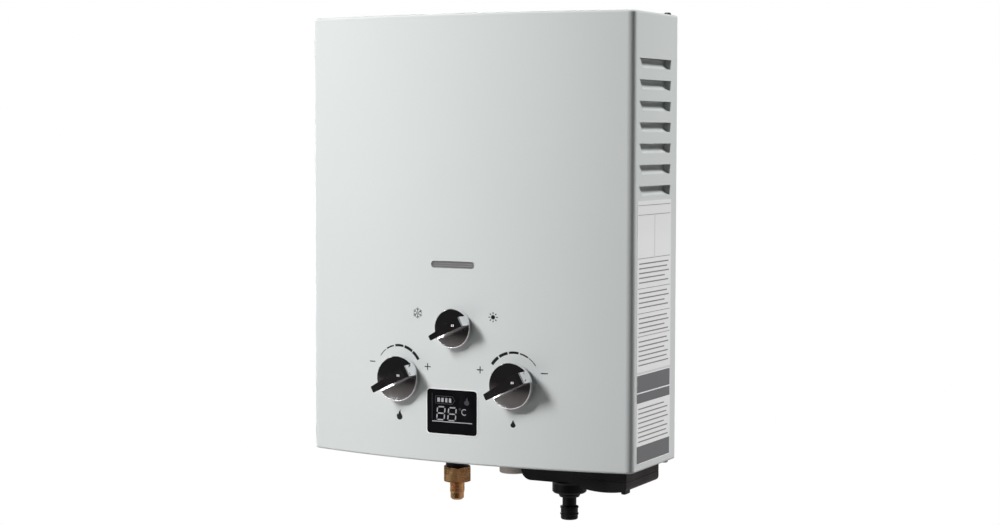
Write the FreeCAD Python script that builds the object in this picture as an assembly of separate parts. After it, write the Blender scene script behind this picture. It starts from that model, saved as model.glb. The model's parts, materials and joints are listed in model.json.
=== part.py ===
import FreeCAD, Part
import math
import os

# Portable propane water heater, an assembly of separate pieces.
# Units are millimetres. X runs to the right as the user sees the front, Y runs from the front
# towards the wall, so the wall face is Y = 0 and the front is on the minus side, and Z is up.
# Pieces are modelled with Z = 0 at the bottom edge of the casing. They are written with the
# origin at the middle of the two lower wall screws, on the wall face.

# Casing sheet
CASE_WIDTH = 292.0
CASE_HEIGHT = 360.0
SIDE_DEPTH = 87.0
FRONT_BULGE = 18.35
CORNER_RADIUS = 7.0
FOLD_RADIUS = 2.0
SHEET = 0.8
PANEL_CUT_REACH = 15.0
COVER_FLANGE = 7.0
COVER_CLEARANCE = 0.3
COVER_REAR_GAP = 0.5
CHASSIS_LIP = 8.0
CHASSIS_SIDE_FLANGE = 12.0

# Wall fixing
WALL_SCREW_HEIGHT = 20.0
WALL_SCREW_SPACING = 200.0
WALL_HOLE_RADIUS = 2.75
KEYHOLE_DROP = 34.0
KEYHOLE_HEAD_RADIUS = 5.5
KEYHOLE_NECK_RADIUS = 2.75
KEYHOLE_TRAVEL = 9.0

# Side louvres
LOUVRE_COUNT = 7
LOUVRE_DROP = 36.5
LOUVRE_PITCH = 16.6
LOUVRE_HEIGHT = 7.7
LOUVRE_DEPTH = 6.0
LOUVRE_FRONT_MARGIN = 10.3
LOUVRE_REAR_MARGIN = 13.2
LOUVRE_FRONT_SLANT = 6.2
LOUVRE_REAR_SLANT = 1.8

# Exhaust slots in the roof and air slots in the floor
EXHAUST_SLOT_WIDTH = 5.0
EXHAUST_SLOT_LENGTH = 40.0
EXHAUST_SLOT_PITCH = 11.0
EXHAUST_SLOT_COUNT = 11
AIR_SLOT_WIDTH = 3.0
AIR_SLOT_LENGTH = 22.0
AIR_SLOT_PITCH = 8.0
AIR_SLOT_COUNT = 9

# Controls on the front panel
CONTROL_CENTRE_X = -1.5
KNOB_HALF_SPACING = 51.5
KNOB_HEIGHT = 66.0
SEASON_KNOB_HEIGHT = 109.3
KNOB_RADIUS = 18.5
SEASON_KNOB_RADIUS = 15.8
KNOB_PANEL_GAP = 0.5
KNOB_SKIRT = 4.2
KNOB_GRIP = 11.3
KNOB_RIM_ROUND = 0.8
KNOB_GRIP_NARROW = 5.4
KNOB_GRIP_WIDE = 9.5
SEASON_GRIP_NARROW = 4.1
SEASON_GRIP_WIDE = 8.0
KNOB_GRIP_ROUND = 4.5
KNOB_REST_ANGLE = 28.0
KNOB_BORE_DEPTH = 9.0
SPINDLE_RADIUS = 3.0
SPINDLE_FLAT = 0.8
SPINDLE_SHOULDER_RADIUS = 4.0
SPINDLE_REACH = 14.0
PANEL_HOLE_RADIUS = 5.5
RUNNING_CLEARANCE = 0.06
SEAT_CLEARANCE = 0.05

# Viewing window over the flames
WINDOW_X = -3.2
WINDOW_Z = 160.0
WINDOW_WIDTH = 39.4
WINDOW_HEIGHT = 5.7
MESH_BORDER = 4.0
MESH_THICKNESS = 0.5

# Temperature display
DISPLAY_X = -3.8
DISPLAY_Z = 41.45
DISPLAY_WIDTH = 45.2
DISPLAY_HEIGHT = 35.5
DISPLAY_ROUND = 2.5
LENS_PROUD = 0.4
LENS_CLEARANCE = 0.15
LENS_BACK = 1.2
LENS_FLANGE = 2.0
DISPLAY_CASE_DEPTH = 9.0
DISPLAY_CASE_WALL = 1.5
BOARD_THICKNESS = 1.6

# Pipe connections under the floor
CONNECTOR_DEPTH = 45.0
GAS_X = -31.4

# Gas inlet, a flare fitting for a 5/16 inch tube with its gland
GAS_GLAND_RADIUS = 9.5
GAS_GLAND_LENGTH = 13.8
GAS_SHANK_RADIUS = 7.0
GAS_SHANK_RISE = 22.0
GAS_HEX_FLATS = 22.0
GAS_HEX_LENGTH = 12.5
GAS_THREAD_RADIUS = 6.35
GAS_THREAD_LENGTH = 9.5
GAS_THREAD_LEAD = 0.7
GAS_THREAD_RUNOUT = 0.5
GAS_NOSE_RADIUS = 5.65
GAS_NOSE_LENGTH = 6.0
GAS_BORE_RADIUS = 2.6

# Hot water outlet, a half inch male thread under a push-on cap
SPIGOT_THREAD_RADIUS = 10.45
SPIGOT_LENGTH = 13.5
SPIGOT_CHAMFER = 1.0
SPIGOT_BORE_RADIUS = 7.0
SPIGOT_FLANGE_RADIUS = 13.5
SPIGOT_FLANGE_THICKNESS = 4.0
SPIGOT_SOCKET_RADIUS = 8.5
SPIGOT_SOCKET_RISE = 14.0
SPIGOT_SOCKET_SHELF = 1.5
CAP_CLEARANCE = 0.3
CAP_WALL = 1.0
CAP_SEAT_GAP = 0.4
CAP_RIM = 1.2
CAP_DISH = 0.6

# Cold water inlet, a click-on hose nipple in a moulded shroud
SHROUD_LEFT_REACH = 36.5
SHROUD_RIGHT_REACH = 24.5
SHROUD_FRONT = 60.0
SHROUD_REAR = 29.0
SHROUD_DROP = 16.6
SHROUD_BATTERY_GAP = 1.3
SHROUD_OUTLET_GAP = 14.4
SHROUD_BOSS_RADIUS = 14.0
SHROUD_BOSS_DROP = 9.9
SHROUD_BOSS_CHAMFER = 1.2
SHROUD_BOSS_FLARE = 2.5
NIPPLE_SHANK_RADIUS = 8.0
NIPPLE_SHANK_RISE = 20.0
NIPPLE_COLLAR_RADIUS = 8.7
NIPPLE_COLLAR_LENGTH = 3.5
NIPPLE_COLLAR_LEAD = 1.5
NIPPLE_CHAMFER = 0.8
NIPPLE_NECK_RADIUS = 5.7
NIPPLE_NECK_LENGTH = 7.0
NIPPLE_HEAD_RADIUS = 7.0
NIPPLE_HEAD_LENGTH = 11.5
NIPPLE_RIDGE = 0.5
NIPPLE_RIDGE_WIDTH = 1.0
NIPPLE_RIDGE_DROP = 6.9
NIPPLE_SHOULDER = 2.0
NIPPLE_END_ROUND = 1.5
NIPPLE_BORE_RADIUS = 3.6

# Battery box for two D cells
CELL_RADIUS = 17.1
CELL_LENGTH = 61.5
CELL_GAP = 0.4
CELL_BUTTON_RADIUS = 5.7
CELL_BUTTON_LENGTH = 1.5
BATTERY_WALL = 1.2
BATTERY_CELL_CLEARANCE = 1.7
BATTERY_END_CLEARANCE = 0.1
CONTACT_THICKNESS = 0.6
BATTERY_FRONT = 80.3
BATTERY_DROP = 16.0
BATTERY_SIDE_GAP = 0.7
BATTERY_HOLE_CLEARANCE = 0.3
BATTERY_RIM = 2.5
BATTERY_RIM_THICKNESS = 1.5
LID_HEIGHT = 8.0
LID_SEAM = 0.2
LID_CROWN = 1.4
LID_CORNER_RADIUS = 4.0
LID_TAB_WIDTH = 5.0
LID_TAB_LENGTH = 9.0
LID_TAB_DROP = 2.0
LID_TAB_ROUND = 1.0
LID_TONGUE_RISE = 3.0
HINGE_KNUCKLE_RADIUS = 1.8
HINGE_PIN_RADIUS = 0.9
HINGE_WALL_GAP = 0.3
HINGE_END_MARGIN = 5.0
HINGE_KNUCKLE_LENGTH = 7.0
HINGE_SIDE_PLAY = 0.3

# Burner, chamber, heat exchanger and hood, stacked over one rectangle
CHAMBER_WIDTH = 152.0
CHAMBER_DEPTH = 62.0
CHAMBER_REAR = 18.0
CHAMBER_HEIGHT = 100.0
CHAMBER_BEAD_WIDTH = 3.0
CHAMBER_BEAD_PROUD = 1.0
WINDOW_OVER_BURNER = 10.0
BURNER_HEIGHT = 32.0
BURNER_COUNT = 8
BURNER_BAR_WIDTH = 8.0
BURNER_BAR_HEIGHT = 14.0
BURNER_END_CLEARANCE = 0.3
BURNER_PORT_COUNT = 7
BURNER_PORT_WIDTH = 1.6
BURNER_PORT_DEPTH = 4.0
BURNER_WEB = 3.0
VENTURI_RADIUS = 6.5
VENTURI_BORE_RADIUS = 5.2
VENTURI_BORE_DEPTH = 12.0
VENTURI_DROP = 24.0
EXCHANGER_HEIGHT = 34.0
EXCHANGER_SHEET = 1.0
TUBE_RADIUS = 6.0
TUBE_PITCH = 18.0
TUBE_STUB = 12.0
TUBE_SOCKET = 6.0
FIN_COUNT = 13
FIN_THICKNESS = 0.6
FIN_SIDE_CLEARANCE = 0.3
FIN_LIFT = 2.0
HOOD_TAPER_X = 12.0
HOOD_TAPER_Y = 8.0

# Gas manifold, injectors and electrodes
MANIFOLD_DEPTH = 8.0
MANIFOLD_HEIGHT = 10.0
MANIFOLD_ROUND = 1.5
MANIFOLD_END_GAP = 1.0
INJECTOR_RADIUS = 3.0
INJECTOR_LENGTH = 5.0
INJECTOR_TIP_RADIUS = 1.8
INJECTOR_TIP_LENGTH = 1.5
MANIFOLD_GAP = 4.0
ELECTRODE_HEIGHT = 6.0
ELECTRODE_SPREAD = 43.0
ELECTRODE_RADIUS = 3.2
ELECTRODE_WIRE_RADIUS = 0.9
ELECTRODE_FRONT_LENGTH = 13.0
ELECTRODE_TIP_LENGTH = 18.0
ELECTRODE_CERAMIC_INSIDE = 8.0
TERMINAL_RADIUS = 1.35
TERMINAL_LENGTH = 3.0
BRACKET_SHEET = 1.2
BRACKET_WIDTH = 19.2
BRACKET_HEIGHT = 9.6
BRACKET_ROUND = 2.0

# Valves and the water to gas linkage
LINKAGE_DEPTH = 52.0
VALVE_FRONT_GAP = 11.0
VALVE_BOSS_RADIUS = 11.0
GAS_BODY_LEFT = 17.0
GAS_BODY_RIGHT = 33.0
GAS_BODY_FRONT = 16.0
GAS_BODY_REAR = 20.0
GAS_BODY_BELOW = 34.0
GAS_BODY_ABOVE = 24.0
GAS_INLET_BOSS_RADIUS = 11.0
SOLENOID_RADIUS = 13.0
SOLENOID_LENGTH = 32.0
SOLENOID_DROP = 16.0
SOLENOID_COLLAR_RADIUS = 9.0
SOLENOID_COLLAR_LENGTH = 6.0
SOLENOID_PLUG = 10.0
SEASON_BODY_HALF = 13.0
SEASON_BOSS_RADIUS = 8.8
SEASON_BODY_REAR = 52.0
SEASON_ARM_RADIUS = 6.5
SEASON_ARM_X = -45.0
SEASON_ARM_DEPTH = 57.0
SEASON_FOOT_RADIUS = 9.5
SEASON_FOOT_THICKNESS = 3.0
WATER_BARREL_RADIUS = 12.0
WATER_BARREL_REAR = 30.0
WATER_PORT_RADIUS = 9.0
WATER_PORT_RISE = 24.0
WATER_INLET_RADIUS = 11.5
DIAPHRAGM_X = 27.5
DIAPHRAGM_RADIUS = 25.0
DIAPHRAGM_THICKNESS = 1.2
DIAPHRAGM_RIM_RADIUS = 28.0
DIAPHRAGM_HOUSING_HALF = 9.5
DIAPHRAGM_CAVITY_RADIUS = 20.0
DIAPHRAGM_CAVITY_DEPTH = 6.5
DIAPHRAGM_NECK_RADIUS = 6.0
DIAPHRAGM_NECK_LENGTH = 10.0
HOUSING_SCREW_RADIUS = 1.9
HOUSING_SCREW_HEAD = 3.2
HOUSING_SCREW_HEAD_HEIGHT = 2.5
HOUSING_SCREW_LENGTH = 16.0
HOUSING_SCREW_COUNT = 4
ROD_RADIUS = 2.5
ROD_PLATE_RADIUS = 16.0
ROD_PLATE_THICKNESS = 2.0
ROD_COLLAR_RADIUS = 5.5
ROD_COLLAR_THICKNESS = 2.5
ROD_COLLAR_X = -1.0
ROD_GAP = 0.3
ROD_TRAVEL = 3.0
ROD_ENTRY = 12.0

# Micro switch over the linkage rod
SWITCH_RISE = 13.5
SWITCH_HEIGHT = 11.0
SWITCH_LENGTH = 19.0
SWITCH_THICKNESS = 6.4
SWITCH_EAR = 4.4
LEVER_PIN_RADIUS = 1.0
LEVER_THICKNESS = 1.0
LEVER_OVERLAP = 2.5
LEVER_GAP = 0.3

# Ignition controller, thermostat and tilt switch
CONTROLLER_WIDTH = 26.0
CONTROLLER_DEPTH = 24.0
CONTROLLER_HEIGHT = 80.0
CONTROLLER_SIDE_GAP = 5.0
CONTROLLER_BOTTOM = 130.0
CONTROLLER_ROUND = 1.5
PLUG_COUNT = 3
PLUG_SETBACK = 5.0
PLUG_DEPTH = 7.0
PLUG_DROP = 4.0
THERMOSTAT_RADIUS = 8.0
THERMOSTAT_THICKNESS = 5.0
THERMOSTAT_FLANGE_WIDTH = 24.0
THERMOSTAT_FLANGE_HEIGHT = 8.0
THERMOSTAT_TAG_SPACING = 8.0
THERMOSTAT_TAG_THICKNESS = 0.8
THERMOSTAT_TAG_HEIGHT = 6.0
THERMOSTAT_TAG_LENGTH = 6.0
TILT_SWITCH_WIDTH = 20.0
TILT_SWITCH_HEIGHT = 16.0
TILT_SWITCH_DEPTH = 14.0
TILT_SWITCH_BOTTOM = 96.0
TILT_SWITCH_ROUND = 1.0

# Screws that hold the cover on
COVER_SCREW_RADIUS = 1.5
COVER_SCREW_HEAD = 3.0
COVER_SCREW_HEAD_HEIGHT = 1.6
COVER_SCREW_CHAMFER = 0.9
COVER_SCREW_LENGTH = 6.0
COVER_SCREW_DEPTH = 12.0

# Values that follow from the sizes above
HALF_WIDTH = CASE_WIDTH / 2
FRONT_RADIUS = (HALF_WIDTH ** 2 + FRONT_BULGE ** 2) / (2 * FRONT_BULGE)
FRONT_CENTRE_Y = FRONT_RADIUS - SIDE_DEPTH - FRONT_BULGE
FLOOR_UNDER = SHEET
FLOOR_TOP = 2 * SHEET
ROOF_UNDER = CASE_HEIGHT - 2 * SHEET
BACK_FACE = -SHEET
CHASSIS_INSET = SHEET + COVER_CLEARANCE
CONNECTOR_Y = -CONNECTOR_DEPTH
GAS_KNOB_X = CONTROL_CENTRE_X - KNOB_HALF_SPACING
WATER_KNOB_X = CONTROL_CENTRE_X + KNOB_HALF_SPACING
BURNER_TOP = WINDOW_Z - WINDOW_OVER_BURNER
BURNER_BOTTOM = BURNER_TOP - BURNER_HEIGHT
CHAMBER_TOP = BURNER_TOP + CHAMBER_HEIGHT
EXCHANGER_TOP = CHAMBER_TOP + EXCHANGER_HEIGHT
CHAMBER_HALF = CHAMBER_WIDTH / 2
CHAMBER_BACK_Y = -CHAMBER_REAR
CHAMBER_FRONT_Y = CHAMBER_BACK_Y - CHAMBER_DEPTH
CHAMBER_MIDDLE_Y = (CHAMBER_BACK_Y + CHAMBER_FRONT_Y) / 2
TUBE_Z = CHAMBER_TOP + EXCHANGER_HEIGHT / 2
FRONT_PASS_Y = CHAMBER_MIDDLE_Y - TUBE_PITCH
REAR_PASS_Y = CHAMBER_MIDDLE_Y + TUBE_PITCH
PIPE_BEND = 2 * TUBE_RADIUS
RISER_X = CHAMBER_HALF + TUBE_STUB + PIPE_BEND
VENTURI_Z = BURNER_TOP - VENTURI_DROP
BURNER_PITCH = CHAMBER_WIDTH / BURNER_COUNT
MANIFOLD_BACK_Y = CHAMBER_FRONT_Y - MANIFOLD_GAP
MANIFOLD_FRONT_Y = MANIFOLD_BACK_Y - MANIFOLD_DEPTH
MANIFOLD_BOTTOM = VENTURI_Z - MANIFOLD_HEIGHT / 2
LINKAGE_Y = -LINKAGE_DEPTH
LINKAGE_Z = KNOB_HEIGHT
GAS_BODY_X0 = GAS_KNOB_X - GAS_BODY_LEFT
GAS_BODY_X1 = GAS_KNOB_X + GAS_BODY_RIGHT
GAS_BODY_Y0 = LINKAGE_Y - GAS_BODY_FRONT
GAS_BODY_Y1 = LINKAGE_Y + GAS_BODY_REAR
GAS_BODY_Z0 = KNOB_HEIGHT - GAS_BODY_BELOW
GAS_BODY_Z1 = KNOB_HEIGHT + GAS_BODY_ABOVE
SHROUD_BOTTOM = -SHROUD_DROP
BOSS_BOTTOM = SHROUD_BOTTOM - SHROUD_BOSS_DROP
GAS_HEX_TOP = FLOOR_UNDER - GAS_GLAND_LENGTH
BATTERY_RIGHT = HALF_WIDTH - COVER_FLANGE - BATTERY_SIDE_GAP
BATTERY_WIDTH = 2 * (CELL_RADIUS + BATTERY_CELL_CLEARANCE + BATTERY_WALL)
BATTERY_LEFT = BATTERY_RIGHT - BATTERY_WIDTH
INLET_X = BATTERY_LEFT - SHROUD_BATTERY_GAP - SHROUD_RIGHT_REACH
OUTLET_X = INLET_X - SHROUD_LEFT_REACH - SHROUD_OUTLET_GAP
BATTERY_Y0 = -BATTERY_FRONT
BATTERY_END_THICKNESS = BATTERY_WALL + CONTACT_THICKNESS + BATTERY_END_CLEARANCE
BATTERY_Y1 = BATTERY_Y0 + CELL_LENGTH + 2 * BATTERY_END_THICKNESS
LOWER_CELL_Z = -BATTERY_DROP + BATTERY_WALL + CELL_GAP + CELL_RADIUS
UPPER_CELL_Z = LOWER_CELL_Z + 2 * CELL_RADIUS + CELL_GAP
BATTERY_TOP = UPPER_CELL_Z + CELL_RADIUS + CELL_GAP + BATTERY_WALL
SEAM_Z = -BATTERY_DROP + LID_HEIGHT
HINGE_Y = BATTERY_Y1 + HINGE_KNUCKLE_RADIUS + HINGE_WALL_GAP
SWITCH_BOTTOM = LINKAGE_Z + SWITCH_RISE
SWITCH_TOP = SWITCH_BOTTOM + SWITCH_HEIGHT
LEVER_PIN_Z = SWITCH_BOTTOM - SWITCH_EAR / 2
LEVER_X = ROD_COLLAR_X - LEVER_GAP - LEVER_THICKNESS / 2

ALONG_X = FreeCAD.Vector(1, 0, 0)
ALONG_Y = FreeCAD.Vector(0, 1, 0)
ALONG_Z = FreeCAD.Vector(0, 0, 1)


def vec(x, y, z):
    return FreeCAD.Vector(x, y, z)


def block(x0, x1, y0, y1, z0, z1):
    return Part.makeBox(x1 - x0, y1 - y0, z1 - z0, vec(x0, y0, z0))


def rod_x(radius, x0, x1, y, z):
    return Part.makeCylinder(radius, x1 - x0, vec(x0, y, z), ALONG_X)


def rod_y(radius, y0, y1, x, z):
    return Part.makeCylinder(radius, y1 - y0, vec(x, y0, z), ALONG_Y)


def rod_z(radius, z0, z1, x, y):
    return Part.makeCylinder(radius, z1 - z0, vec(x, y, z0), ALONG_Z)


def join(*solids):
    """One solid from solids that touch or overlap, with flush faces merged."""
    first = solids[0]
    return first.fuse(list(solids[1:])).removeSplitter()


def group(solids):
    """Separate solids kept side by side in one node."""
    return Part.makeCompound(solids)


def outline_edges(points):
    """Edges through the points. A pair of points stands for an arc through the first of them."""
    edges = []
    here = points[0]
    for step in points[1:]:
        if isinstance(step, tuple):
            edges.append(Part.Arc(here, step[0], step[1]).toShape())
            here = step[1]
        else:
            edges.append(Part.makeLine(here, step))
            here = step
    if here.distanceToPoint(points[0]) > 1e-6:
        edges.append(Part.makeLine(here, points[0]))
    return edges


def outline_face(points):
    return Part.Face(Part.Wire(outline_edges(points)))


def turned(x, y, steps):
    """A solid turned about the upright line at x, y from steps of (radius, z)."""
    points = []
    for step in steps:
        if isinstance(step[0], tuple):
            middle = vec(x + step[0][0], y, step[0][1])
            points.append((middle, vec(x + step[1][0], y, step[1][1])))
        else:
            points.append(vec(x + step[0], y, step[1]))
    return outline_face(points).revolve(vec(x, y, 0), ALONG_Z, 360)


def hexagon(flats, x, y, z0, z1):
    """A hexagon bar with its corners turned off at both ends."""
    corner = flats / 2 / math.cos(math.pi / 6)
    points = []
    for k in range(6):
        angle = k * math.pi / 3
        points.append(vec(x + corner * math.cos(angle), y + corner * math.sin(angle), z0))
    bar = outline_face(points).extrude(vec(0, 0, z1 - z0))
    drop = (corner - flats / 2) / math.sqrt(3)
    limit = turned(x, y, [(0, z0), (flats / 2, z0), (corner, z0 + drop), (corner, z1 - drop),
                          (flats / 2, z1), (0, z1)])
    return bar.common(limit)


def bent_pipe(points, radius, bend):
    """A round bar along straight runs joined by arcs of one bend radius."""
    edges = []
    here = points[0]
    for k in range(1, len(points) - 1):
        corner = points[k]
        arriving = (corner - points[k - 1]).normalize()
        leaving = (points[k + 1] - corner).normalize()
        turn = arriving.getAngle(leaving)
        setback = bend * math.tan(turn / 2)
        start = corner - arriving * setback
        end = corner + leaving * setback
        inward = (leaving - arriving).normalize()
        middle = corner + inward * (bend / math.cos(turn / 2) - bend)
        if here.distanceToPoint(start) > 1e-6:
            edges.append(Part.makeLine(here, start))
        edges.append(Part.Arc(start, middle, end).toShape())
        here = end
    if here.distanceToPoint(points[-1]) > 1e-6:
        edges.append(Part.makeLine(here, points[-1]))
    path = Part.Wire(edges)
    section = Part.Wire(Part.makeCircle(radius, points[0], points[1] - points[0]))
    return path.makePipeShell([section], True, False)


def front_y(x, behind=0.0):
    """Y of the curved front panel at x, or of a surface that lies behind it."""
    return FRONT_CENTRE_Y - math.sqrt((FRONT_RADIUS - behind) ** 2 - x ** 2)


def case_outline(inset, back_y, z):
    """The casing in plan, moved inwards by inset: flat sides, round corners, curved front."""
    half = HALF_WIDTH - inset
    radius = FRONT_RADIUS - inset
    corner = max(CORNER_RADIUS - inset, FOLD_RADIUS / 2)
    corner_x = half - corner
    corner_y = FRONT_CENTRE_Y - math.sqrt((radius - corner) ** 2 - corner_x ** 2)
    lean = math.atan2(FRONT_CENTRE_Y - corner_y, corner_x)
    meet_x = corner_x + corner * math.cos(lean)
    meet_y = corner_y - corner * math.sin(lean)
    mid_x = corner_x + corner * math.cos(lean / 2)
    mid_y = corner_y - corner * math.sin(lean / 2)
    apex = vec(0, FRONT_CENTRE_Y - radius, z)
    return [vec(-half, back_y, z), vec(-half, corner_y, z),
            (vec(-mid_x, mid_y, z), vec(-meet_x, meet_y, z)),
            (apex, vec(meet_x, meet_y, z)),
            (vec(mid_x, mid_y, z), vec(half, corner_y, z)),
            vec(half, back_y, z)]


def case_prism(inset, back_y, z0, z1):
    return outline_face(case_outline(inset, back_y, z0)).extrude(vec(0, 0, z1 - z0))


def round_folds(solid, radius):
    """Rounds the top and bottom edges of a casing prism, but not those along its back."""
    edges = []
    for edge in solid.Edges:
        box = edge.BoundBox
        if box.ZLength < 1e-6 and box.YLength > 1e-6:
            edges.append(edge)
    return solid.makeFillet(radius, edges)


def panel_layer(proud, behind, z0, z1):
    """The layer between a surface proud of the front panel and one behind it."""
    centre = vec(0, FRONT_CENTRE_Y, z0)
    outer = Part.makeCylinder(FRONT_RADIUS + proud, z1 - z0, centre)
    inner = Part.makeCylinder(FRONT_RADIUS - behind, z1 - z0, centre)
    return outer.cut(inner)


def rounded_plate(x, z, width, height, radius, y0, y1):
    """A plate square to Y with rounded corners."""
    x0 = x - width / 2
    x1 = x + width / 2
    z0 = z - height / 2
    z1 = z + height / 2
    solid = block(x0, x1, y0, y1, z0, z1)
    edges = [edge for edge in solid.Edges if edge.BoundBox.YLength > 1e-6]
    return solid.makeFillet(radius, edges)


def wall_ring(x_half, y0, y1, z0, z1, wall):
    """Four walls round a rectangle that is centred on X."""
    outer = block(-x_half, x_half, y0, y1, z0, z1)
    inner = block(-x_half + wall, x_half - wall, y0 + wall, y1 - wall, z0 - 1, z1 + 1)
    return outer.cut(inner)


def across(count, pitch):
    """Places of a row of copies that is centred on zero."""
    return [(k - (count - 1) / 2) * pitch for k in range(count)]


def save(name, shape):
    moved = shape.copy()
    moved.translate(vec(0, 0, -WALL_SCREW_HEIGHT))
    moved.exportStep("parts/" + name + ".step")


# Casing

def louvre_pocket(top_z, grow):
    """The hollow of one side louvre: a scoop that is open along its top edge."""
    depth = LOUVRE_DEPTH + grow
    low_z = top_z - LOUVRE_HEIGHT - grow
    front = -SIDE_DEPTH + LOUVRE_FRONT_MARGIN - grow
    rear = -LOUVRE_REAR_MARGIN + grow
    bulge = math.sin(math.pi / 4)
    out_x = HALF_WIDTH + 1
    lip = vec(HALF_WIDTH - depth, front, top_z)
    belly = vec(HALF_WIDTH - depth * bulge, front, top_z - (top_z - low_z) * bulge)
    scoop = outline_face([vec(out_x, front, top_z), lip, (belly, vec(HALF_WIDTH, front, low_z)),
                          vec(out_x, front, low_z)]).extrude(vec(0, rear - front, 0))
    start_x = HALF_WIDTH - depth - 1
    ends = outline_face([vec(start_x, front, top_z), vec(start_x, rear, top_z),
                         vec(start_x, rear - LOUVRE_REAR_SLANT, low_z),
                         vec(start_x, front + LOUVRE_FRONT_SLANT, low_z)])
    return scoop.common(ends.extrude(vec(out_x - start_x, 0, 0)))


def make_front_cover():
    outer = round_folds(case_prism(0, -COVER_REAR_GAP, 0, CASE_HEIGHT), FOLD_RADIUS)
    hollow = case_prism(SHEET, 1, SHEET, CASE_HEIGHT - SHEET)
    hollow = round_folds(hollow, FOLD_RADIUS - SHEET)
    mouth = case_prism(COVER_FLANGE, 1, -1, CASE_HEIGHT + 1)
    cover = outer.cut([hollow, mouth])
    cuts = []
    blades = []
    wall = block(0, HALF_WIDTH, -SIDE_DEPTH, 0, 0, CASE_HEIGHT)
    for k in range(LOUVRE_COUNT):
        top_z = CASE_HEIGHT - LOUVRE_DROP - k * LOUVRE_PITCH
        pocket = louvre_pocket(top_z, 0)
        blade = louvre_pocket(top_z, SHEET).common(wall).cut(pocket)
        cuts += [pocket, pocket.mirror(vec(0, 0, 0), ALONG_X)]
        blades += [blade, blade.mirror(vec(0, 0, 0), ALONG_X)]
    for x, z in ((GAS_KNOB_X, KNOB_HEIGHT), (WATER_KNOB_X, KNOB_HEIGHT),
                 (CONTROL_CENTRE_X, SEASON_KNOB_HEIGHT)):
        cuts.append(rod_y(PANEL_HOLE_RADIUS, front_y(0) - 1, front_y(x) + PANEL_CUT_REACH, x, z))
    window_y = front_y(0) - 1
    slot = rounded_plate(WINDOW_X, WINDOW_Z, WINDOW_WIDTH, WINDOW_HEIGHT,
                         WINDOW_HEIGHT / 2 - 0.01, window_y, window_y + PANEL_CUT_REACH)
    lens_hole = rounded_plate(DISPLAY_X, DISPLAY_Z, DISPLAY_WIDTH + 2 * LENS_CLEARANCE,
                              DISPLAY_HEIGHT + 2 * LENS_CLEARANCE, DISPLAY_ROUND + LENS_CLEARANCE,
                              window_y, window_y + PANEL_CUT_REACH)
    cuts += [slot, lens_hole]
    for x, y in cover_screw_places():
        cuts.append(rod_z(COVER_SCREW_RADIUS + SEAT_CLEARANCE, -1, CASE_HEIGHT + 1, x, y))
    return cover.cut(cuts).fuse(blades)


def cover_screw_places():
    x = HALF_WIDTH - (CHASSIS_INSET + COVER_FLANGE) / 2
    return ((-x, -COVER_SCREW_DEPTH), (x, -COVER_SCREW_DEPTH))


def keyhole():
    z = CASE_HEIGHT - KEYHOLE_DROP
    head = rod_y(KEYHOLE_HEAD_RADIUS, -SHEET - 1, 1, 0, z)
    neck = block(-KEYHOLE_NECK_RADIUS, KEYHOLE_NECK_RADIUS, -SHEET - 1, 1, z, z + KEYHOLE_TRAVEL)
    end = rod_y(KEYHOLE_NECK_RADIUS, -SHEET - 1, 1, 0, z + KEYHOLE_TRAVEL)
    return [head, neck, end]


def make_chassis():
    low = SHEET
    high = CASE_HEIGHT - SHEET
    outer = round_folds(case_prism(CHASSIS_INSET, 0, low, high), FOLD_RADIUS)
    hollow = case_prism(CHASSIS_INSET + SHEET, -SHEET, low + SHEET, high - SHEET)
    hollow = round_folds(hollow, FOLD_RADIUS - SHEET)
    front = block(-CASE_WIDTH, CASE_WIDTH, front_y(0) - 1, -CHASSIS_SIDE_FLANGE,
                  low + CHASSIS_LIP, high - CHASSIS_LIP)
    cuts = [hollow, front] + keyhole()
    for x in (-WALL_SCREW_SPACING / 2, WALL_SCREW_SPACING / 2):
        cuts.append(rod_y(WALL_HOLE_RADIUS, -SHEET - 1, 1, x, WALL_SCREW_HEIGHT))
    floor_holes = ((GAS_X, GAS_SHANK_RADIUS + SEAT_CLEARANCE),
                   (OUTLET_X, SPIGOT_THREAD_RADIUS + SEAT_CLEARANCE),
                   (INLET_X, NIPPLE_SHANK_RADIUS + SEAT_CLEARANCE))
    for x, radius in floor_holes:
        cuts.append(rod_z(radius, 0, FLOOR_TOP + 1, x, CONNECTOR_Y))
    gap = BATTERY_HOLE_CLEARANCE
    cuts.append(block(BATTERY_LEFT - gap, BATTERY_RIGHT + gap, BATTERY_Y0 - gap, BATTERY_Y1 + gap,
                      0, FLOOR_TOP + 1))
    for x in across(EXHAUST_SLOT_COUNT, EXHAUST_SLOT_PITCH):
        cuts.append(block(x - EXHAUST_SLOT_WIDTH / 2, x + EXHAUST_SLOT_WIDTH / 2,
                          CHAMBER_MIDDLE_Y - EXHAUST_SLOT_LENGTH / 2,
                          CHAMBER_MIDDLE_Y + EXHAUST_SLOT_LENGTH / 2, ROOF_UNDER - 1, CASE_HEIGHT))
    air_x = (GAS_X - GAS_GLAND_RADIUS - HALF_WIDTH) / 2
    for x in across(AIR_SLOT_COUNT, AIR_SLOT_PITCH):
        cuts.append(block(air_x + x - AIR_SLOT_WIDTH / 2, air_x + x + AIR_SLOT_WIDTH / 2,
                          CONNECTOR_Y - AIR_SLOT_LENGTH / 2, CONNECTOR_Y + AIR_SLOT_LENGTH / 2,
                          0, FLOOR_TOP + 1))
    for x, y in cover_screw_places():
        cuts.append(rod_z(COVER_SCREW_RADIUS + SEAT_CLEARANCE, -1, CASE_HEIGHT + 1, x, y))
    return outer.cut(cuts)


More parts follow.
